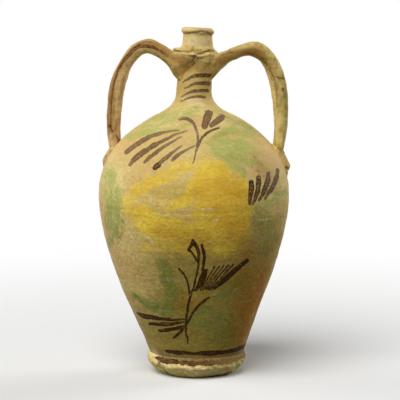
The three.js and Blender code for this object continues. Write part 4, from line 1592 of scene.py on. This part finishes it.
def specks(shader, colour):
    """Irregular pale chips, more of them along the seam, and a few dark pinholes."""
    off_seam = shader.math("ABSOLUTE", shader.minus(shader.height, SEAM_DENT["height"] * MM))
    seam = shader.times(shader.between(off_seam, *SEAM_REACH), 0.06)
    region = shader.times(shader.noise(30, detail=3), 0.2)
    fine = shader.plus(shader.noise(340, detail=3, roughness=0.6), shader.plus(seam, region))
    broken = shader.noise(420, detail=3)
    scratched = shader.between(broken, 0.46, 0.54)
    chipped = shader.between(broken, 0.56, 0.48)
    colour = shader.tint(colour, CHIP, shader.between(fine, 0.77, 0.86), 0.6)
    colour = shader.tint(colour, CREASE_SHADE_AND_SCRATCHES, shader.attribute("dark_mark"), scratched, 0.75)
    colour = shader.tint(colour, CHIP, shader.attribute("pale_mark"), chipped, 0.9)
    return shader.tint(colour, DARK_BROWN, speckle(shader, scale=260, size=0.22, share=0.1), 0.55)


def wash(shader, colour, name, tint, spread):
    """Thin colour brushed over a base: softly streaked along the brush and broken by the clay's grain."""
    amount, run, side = shader.split(shader.attribute(name, "Vector"))
    brush = shader.brushed(run, side, along=0.035, across=0.16)
    streaks = shader.between(shader.noise(1.6, detail=6, roughness=0.65, place=brush), 0.3, 0.7)
    grain = shader.between(shader.noise(75, detail=8, roughness=0.7), 0.25, 0.75)
    broken = shader.plus(shader.times(streaks, 1.3), shader.times(grain, 0.7))
    reach = shader.plus(amount, shader.times(shader.minus(broken, 1.0), spread))
    laid = shader.between(amount, 0.0, 0.25)
    return shader.tint(colour, tint, shader.between(reach, 0.05, 0.95), laid, 0.9)


def brown_paint(shader, colour, thin=BROWN, thick=STROKE_RED):
    """Brush strokes with soft ragged sides, bristle marks and darker edges where the colour pooled."""
    cover, run, side = shader.split(shader.attribute("brown", "Vector"))
    load = shader.attribute("brown_load")
    brush = shader.brushed(run, side, along=0.06, across=0.8)
    bristles = shader.noise(1.2, detail=4, place=brush)
    grain = shader.minus(shader.noise(380, detail=5, roughness=0.6), 0.5)
    ragged = shader.plus(cover, shader.times(grain, 1.6))
    pooled = shader.times(shader.between(ragged, 1.3, 0.2), 0.4)
    streaks = shader.times(shader.between(bristles, 0.36, 0.66), 0.4)
    blotches = shader.times(shader.between(grain, -0.08, 0.1), 0.55)
    marks = shader.plus(pooled, shader.plus(streaks, blotches))
    dark = shader.math("MINIMUM", shader.times(shader.plus(marks, 0.2), load), 1.0)
    light = shader.mix(shader.between(load, 0.4, 0.9), thin, thick)
    dry = shader.plus(shader.noise(170, detail=6, roughness=0.65), shader.times(bristles, 0.4))
    kept = shader.plus(shader.times(load, 0.45), 0.35, clamp=True)
    strength = shader.plus(kept, shader.times(shader.between(dry, 0.46, 0.66), 0.45), clamp=True)
    paint = shader.mix(dark, light, DARK_BROWN)
    return shader.tint(colour, paint, shader.between(ragged, -0.45, 0.35), strength)


def wear_and_hollow_shade(shader, colour, bare=WORN_AND_HIGHLIGHT):
    """Pale clay on worn ridges, and painted shade in the creases and hollows."""
    grain = shader.noise(240, detail=5)
    edge = shader.plus(shader.attribute("edge"), shader.times(shader.minus(grain, 0.5), 0.5))
    ridge = shader.times(shader.attribute("ridge"), shader.between(grain, 0.3, 0.55), 0.35)
    worn = shader.times(shader.between(edge, 0.2, 0.8), 0.5)
    crease = shader.times(shader.attribute("crease"), shader.between(grain, 0.75, 0.4), 0.8)
    # Painted shade in hollows of the surface
    hollow_shade = shader.times(shader.between(edge, -0.2, -0.6), 0.7)
    colour = shader.mix(shader.math("MAXIMUM", ridge, worn), colour, bare)
    return shader.mix(shader.math("MAXIMUM", crease, hollow_shade), colour, CREASE_SHADE_AND_SCRATCHES)


def glaze_normal(shader, depth):
    """Bump of a worn glaze: grain, small pits and hairline crackle."""
    grain = shader.noise(330, detail=6, roughness=0.6)
    lines = shader.noise(240, detail=4, place=shader.stretched((0.08, 0.08, 1)))
    normal = shader.bump(grain, 0.45 * depth, shader.bump(lines, 0.4 * depth))
    pitted = shader.between(shader.cells(190)["Distance"], 0.05, 0.3)
    return shader.bump(pitted, 0.16 * depth, normal)


def glaze_roughness(shader, low, high):
    spans = {"From Min": 0.3, "From Max": 0.7, "To Min": low, "To Max": high}
    return shader.node("MapRange", {"Value": shader.noise(70, detail=5), **spans}).outputs["Result"]


def painted_low_shade(shader, colour):
    """Painted shade over the washes of the lower belly, least on the lit left, and above the foot."""
    belly = shader.times(
        shader.between(shader.height, *BELLY_SHADE["top"]),
        shader.between(shader.height, *BELLY_SHADE["bottom"]),
        shader.between(shader.side, *BELLY_SHADE["side"]),
        shader.noise(24, detail=4),
    )
    # Painted shade in the joint above the foot
    heel = shader.between(shader.height, *HEEL_SHADE_HEIGHT)
    colour = shader.tint(colour, GRIME_AND_SHADE, belly, 0.9)
    return shader.tint(colour, FOOT_SHADE, heel, shader.between(shader.side, *FOOT_SHADE_SIDE), 0.6)


def painted_glaze():
    shader = Shader("painted_glaze")
    leaves = shader.mix(shader.between(shader.height, *LEAF_HEIGHT), GREEN, DEEP_GREEN)
    warmth = shader.between(shader.noise(48, detail=5, place=shader.stretched((0.5, 0.5, 1))), 0.38, 0.62)
    warmth = shader.plus(shader.times(warmth, 0.35), shader.attribute("ochre"), clamp=True)
    petals = shader.mix(warmth, YELLOW, OCHRE)
    rusty = shader.between(shader.noise(38, detail=5), 0.2, 0.52)
    colour = wash(shader, clay_base(shader), "green", leaves, 0.6)
    colour = painted_low_shade(shader, wash(shader, colour, "yellow", petals, 0.4))
    colour = weathered(shader, shader.tint(colour, RUST, shader.attribute("rust"), rusty))
    colour = specks(shader, wear_and_hollow_shade(shader, brown_paint(shader, colour)))
    return shader.finish(colour, glaze_roughness(shader, 0.42, 0.64), glaze_normal(shader, 1))


def handle_glaze():
    shader = Shader("handle_glaze")
    patches = shader.noise(42, detail=5)
    spots = shader.noise(90, detail=6, roughness=0.65)
    flecks = shader.noise(190, detail=5, roughness=0.65, place=shader.stretched((1, 1, 0.4)))
    left = shader.between(shader.side, *PINK_SIDE)
    colour = shader.mix(shader.between(patches, 0.40, 0.62), HANDLE_GLAZE, HANDLE_GREEN)
    colour = shader.tint(colour, HANDLE_PINK, left, shader.between(patches, 0.25, 0.45), 0.85)
    colour = shader.tint(colour, HANDLE_BROWN, left, shader.between(shader.side, *BROWN_SIDE), 0.9)
    colour = shader.toned(colour, spots, SPOT_TONES)
    # The cups' darker buff, partly painted shade round the neck
    colour = shader.tint(colour, CUP_BUFF, shader.attribute("cup"), 0.75)
    colour = shader.toned(colour, flecks, FLECK_TONES)
    # Pale places, partly painted highlights and painted light
    pale_share = shader.between(spots, 0.62, 0.4)
    colour = shader.tint(colour, HANDLE_PALE, shader.attribute("pale"), pale_share, 0.75)
    # Stains, partly painted shade
    dark_breakup = shader.between(spots, 0.25, 0.45)
    colour = shader.tint(colour, STAIN_AND_SHADE, shader.attribute("stain"), dark_breakup, 0.88)
    colour = brown_paint(shader, weathered(shader, colour), GROOVE_RED, GROOVE_RED)
    colour = specks(shader, wear_and_hollow_shade(shader, colour))
    return shader.finish(colour, glaze_roughness(shader, 0.38, 0.6), glaze_normal(shader, 1.3))


def bare_clay():
    shader = Shader("bare_clay")
    patches = shader.noise(34, detail=5)
    stain = shader.noise(26, detail=5, place=shader.stretched((1, 1, 1.5)))
    mottle = shader.noise(170, detail=7, roughness=0.68)
    torn = shader.between(shader.noise(110, detail=6, roughness=0.65), 0.74, 0.42)
    pale_share = shader.between(shader.height, *LIT_COIL_HEIGHT)
    luted = shader.between(shader.height, *LUTED_HEIGHT)
    colour = shader.mix(shader.between(patches, 0.3, 0.6), BUFF, CREAM)
    colour = shader.toned(colour, stain, FOOT_STAIN_TONES)
    # Painted light from below on the lower part of the coil
    colour = shader.tint(colour, LIT_COIL_CLAY, pale_share, shader.between(mottle, 0.7, 0.35))
    # Painted shade on the top of the coil at its joint with the body, spared at the left end
    colour = shader.tint(colour, FOOT_SHADE, luted, shader.between(shader.side, *FOOT_SHADE_SIDE), 0.9)
    # Pale places: painted highlight at the foot's left end and painted light under the coil
    colour = shader.tint(colour, PALE_CLAY, shader.attribute("pale"), torn)
    colour = weathered(shader, shader.toned(colour, mottle, FOOT_MOTTLE_TONES))
    colour = wear_and_hollow_shade(shader, brown_paint(shader, colour, RED_BROWN, RED_BROWN), PALE_CLAY)
    return shader.finish(colour, glaze_roughness(shader, 0.6, 0.85), glaze_normal(shader, 2))


# Stage

FLOOR_HALF_SIZE = 6000
FLOOR_ROUGHNESS = 0.9
WORLD_STRENGTH = 0.08
SUNS = {
    "key": {"elevation": 50, "azimuth": 26, "strength": 2.9, "softness": 50},
    "left_rim": {"elevation": 12, "azimuth": 108, "strength": 0.9, "softness": 30},
    "right_rim": {"elevation": 16, "azimuth": -122, "strength": 1.5, "softness": 30},
}


def make_floor():
    """Pale floor that keeps the jug's shadow and turns white with distance."""
    size = FLOOR_HALF_SIZE
    corners = np.array([(-size, -size, 0), (size, -size, 0), (size, size, 0), (-size, size, 0)], float)
    floor = new_object("floor", corners, [(0, 1, 2, 3)])
    shader = Shader("floor_paper")
    seen = shader.directly_seen()
    away = shader.node("VectorMath", {0: shader.place}, operation="LENGTH").outputs["Value"]
    pale = shader.mix(shader.noise(3, detail=2), *FLOOR_TONES)
    shader.put(shader.surface.inputs["Base Color"], shader.mix(seen, FLOOR_UNSEEN, pale))
    shader.put(shader.surface.inputs["Roughness"], FLOOR_ROUGHNESS)
    white = shader.node("Emission", {"Color": WHITE, "Strength": 1.0}).outputs[0]
    share = shader.times(shader.between(away, *FLOOR_FADE), seen)
    blend = shader.node("MixShader", {0: share, 1: shader.surface.outputs[0], 2: white})
    shader.put(shader.tree.nodes["Material Output"].inputs["Surface"], blend.outputs[0])
    floor.data.materials.append(shader.material)


def make_world():
    """Weak even light from all round, white where the camera or a reflection sees it."""
    world = bpy.data.worlds.new("studio")
    world.use_nodes = True
    nodes = Nodes(world.node_tree)
    levels = {"Value": nodes.directly_seen(), "To Min": WORLD_STRENGTH, "To Max": 1.0}
    background = nodes.tree.nodes["Background"].inputs
    nodes.put(background["Color"], WHITE)
    nodes.put(background["Strength"], nodes.node("MapRange", levels).outputs["Result"])
    bpy.context.scene.world = world


def make_sun(name, elevation, azimuth, strength, softness):
    """Soft sun; the azimuth is measured from the camera's side, to the left."""
    lamp = bpy.data.lights.new(name, "SUN")
    lamp.energy = strength
    lamp.angle = math.radians(softness)
    added(name, lamp).rotation_euler = (math.radians(90 - elevation), 0, -math.radians(azimuth))


def make_camera():
    lens = bpy.data.cameras.new("camera")
    lens.sensor_width = SENSOR_WIDTH
    lens.lens = FOCAL_PIXELS / FRAME_PIXELS * SENSOR_WIDTH
    camera = added("camera", lens)
    camera.location = EYE * MM
    camera.rotation_euler = (math.pi / 2 - EYE_TILT, 0, 0)
    bpy.context.scene.camera = camera


def dress(piece, node, material, sharp_angle=math.radians(50)):
    """Gives a finished piece its material and its place in the frame."""
    piece.data.materials.clear()
    piece.data.materials.append(material)
    piece.data.shade_smooth()
    piece.data.set_sharp_from_angle(angle=sharp_angle)
    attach(piece, "root")
    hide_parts(node)


def make_jug():
    glaze, handle, clay = painted_glaze(), handle_glaze(), bare_clay()
    body_pieces = {"lower_body": make_lower_body(), "upper_body": make_upper_body(), "neck": make_neck()}
    for node, piece in body_pieces.items():
        paint_body(piece, thrown_detail, BANDS["heel"] if node == "lower_body" else None)
        dress(piece, node, glaze)
    foot = make_foot_ring()
    paint_body(foot, foot_wear, BANDS["foot"])
    dress(foot, "foot_ring", clay)
    collar = make_collar()
    body_cutter = make_body_cutter()
    clay_pieces = {"collar": collar}
    for side in HANDLES:
        wad = make_wad(side, body_cutter)
        grips = [piece for node, piece in clay_pieces.items() if node.endswith("handle")]
        clay_pieces[f"{side}_handle"] = make_handle(side, body_cutter, collar, wad, *grips)
        clay_pieces[f"{side}_root_wad"] = wad
    for node, piece in clay_pieces.items():
        paint_handle(piece)
        dress(piece, node, handle)
    remove(body_cutter)


make_jug()
make_floor()
make_world()
for sun_name, sun_settings in SUNS.items():
    make_sun(sun_name, **sun_settings)
make_camera()
bpy.context.scene.view_settings.view_transform = "Standard"
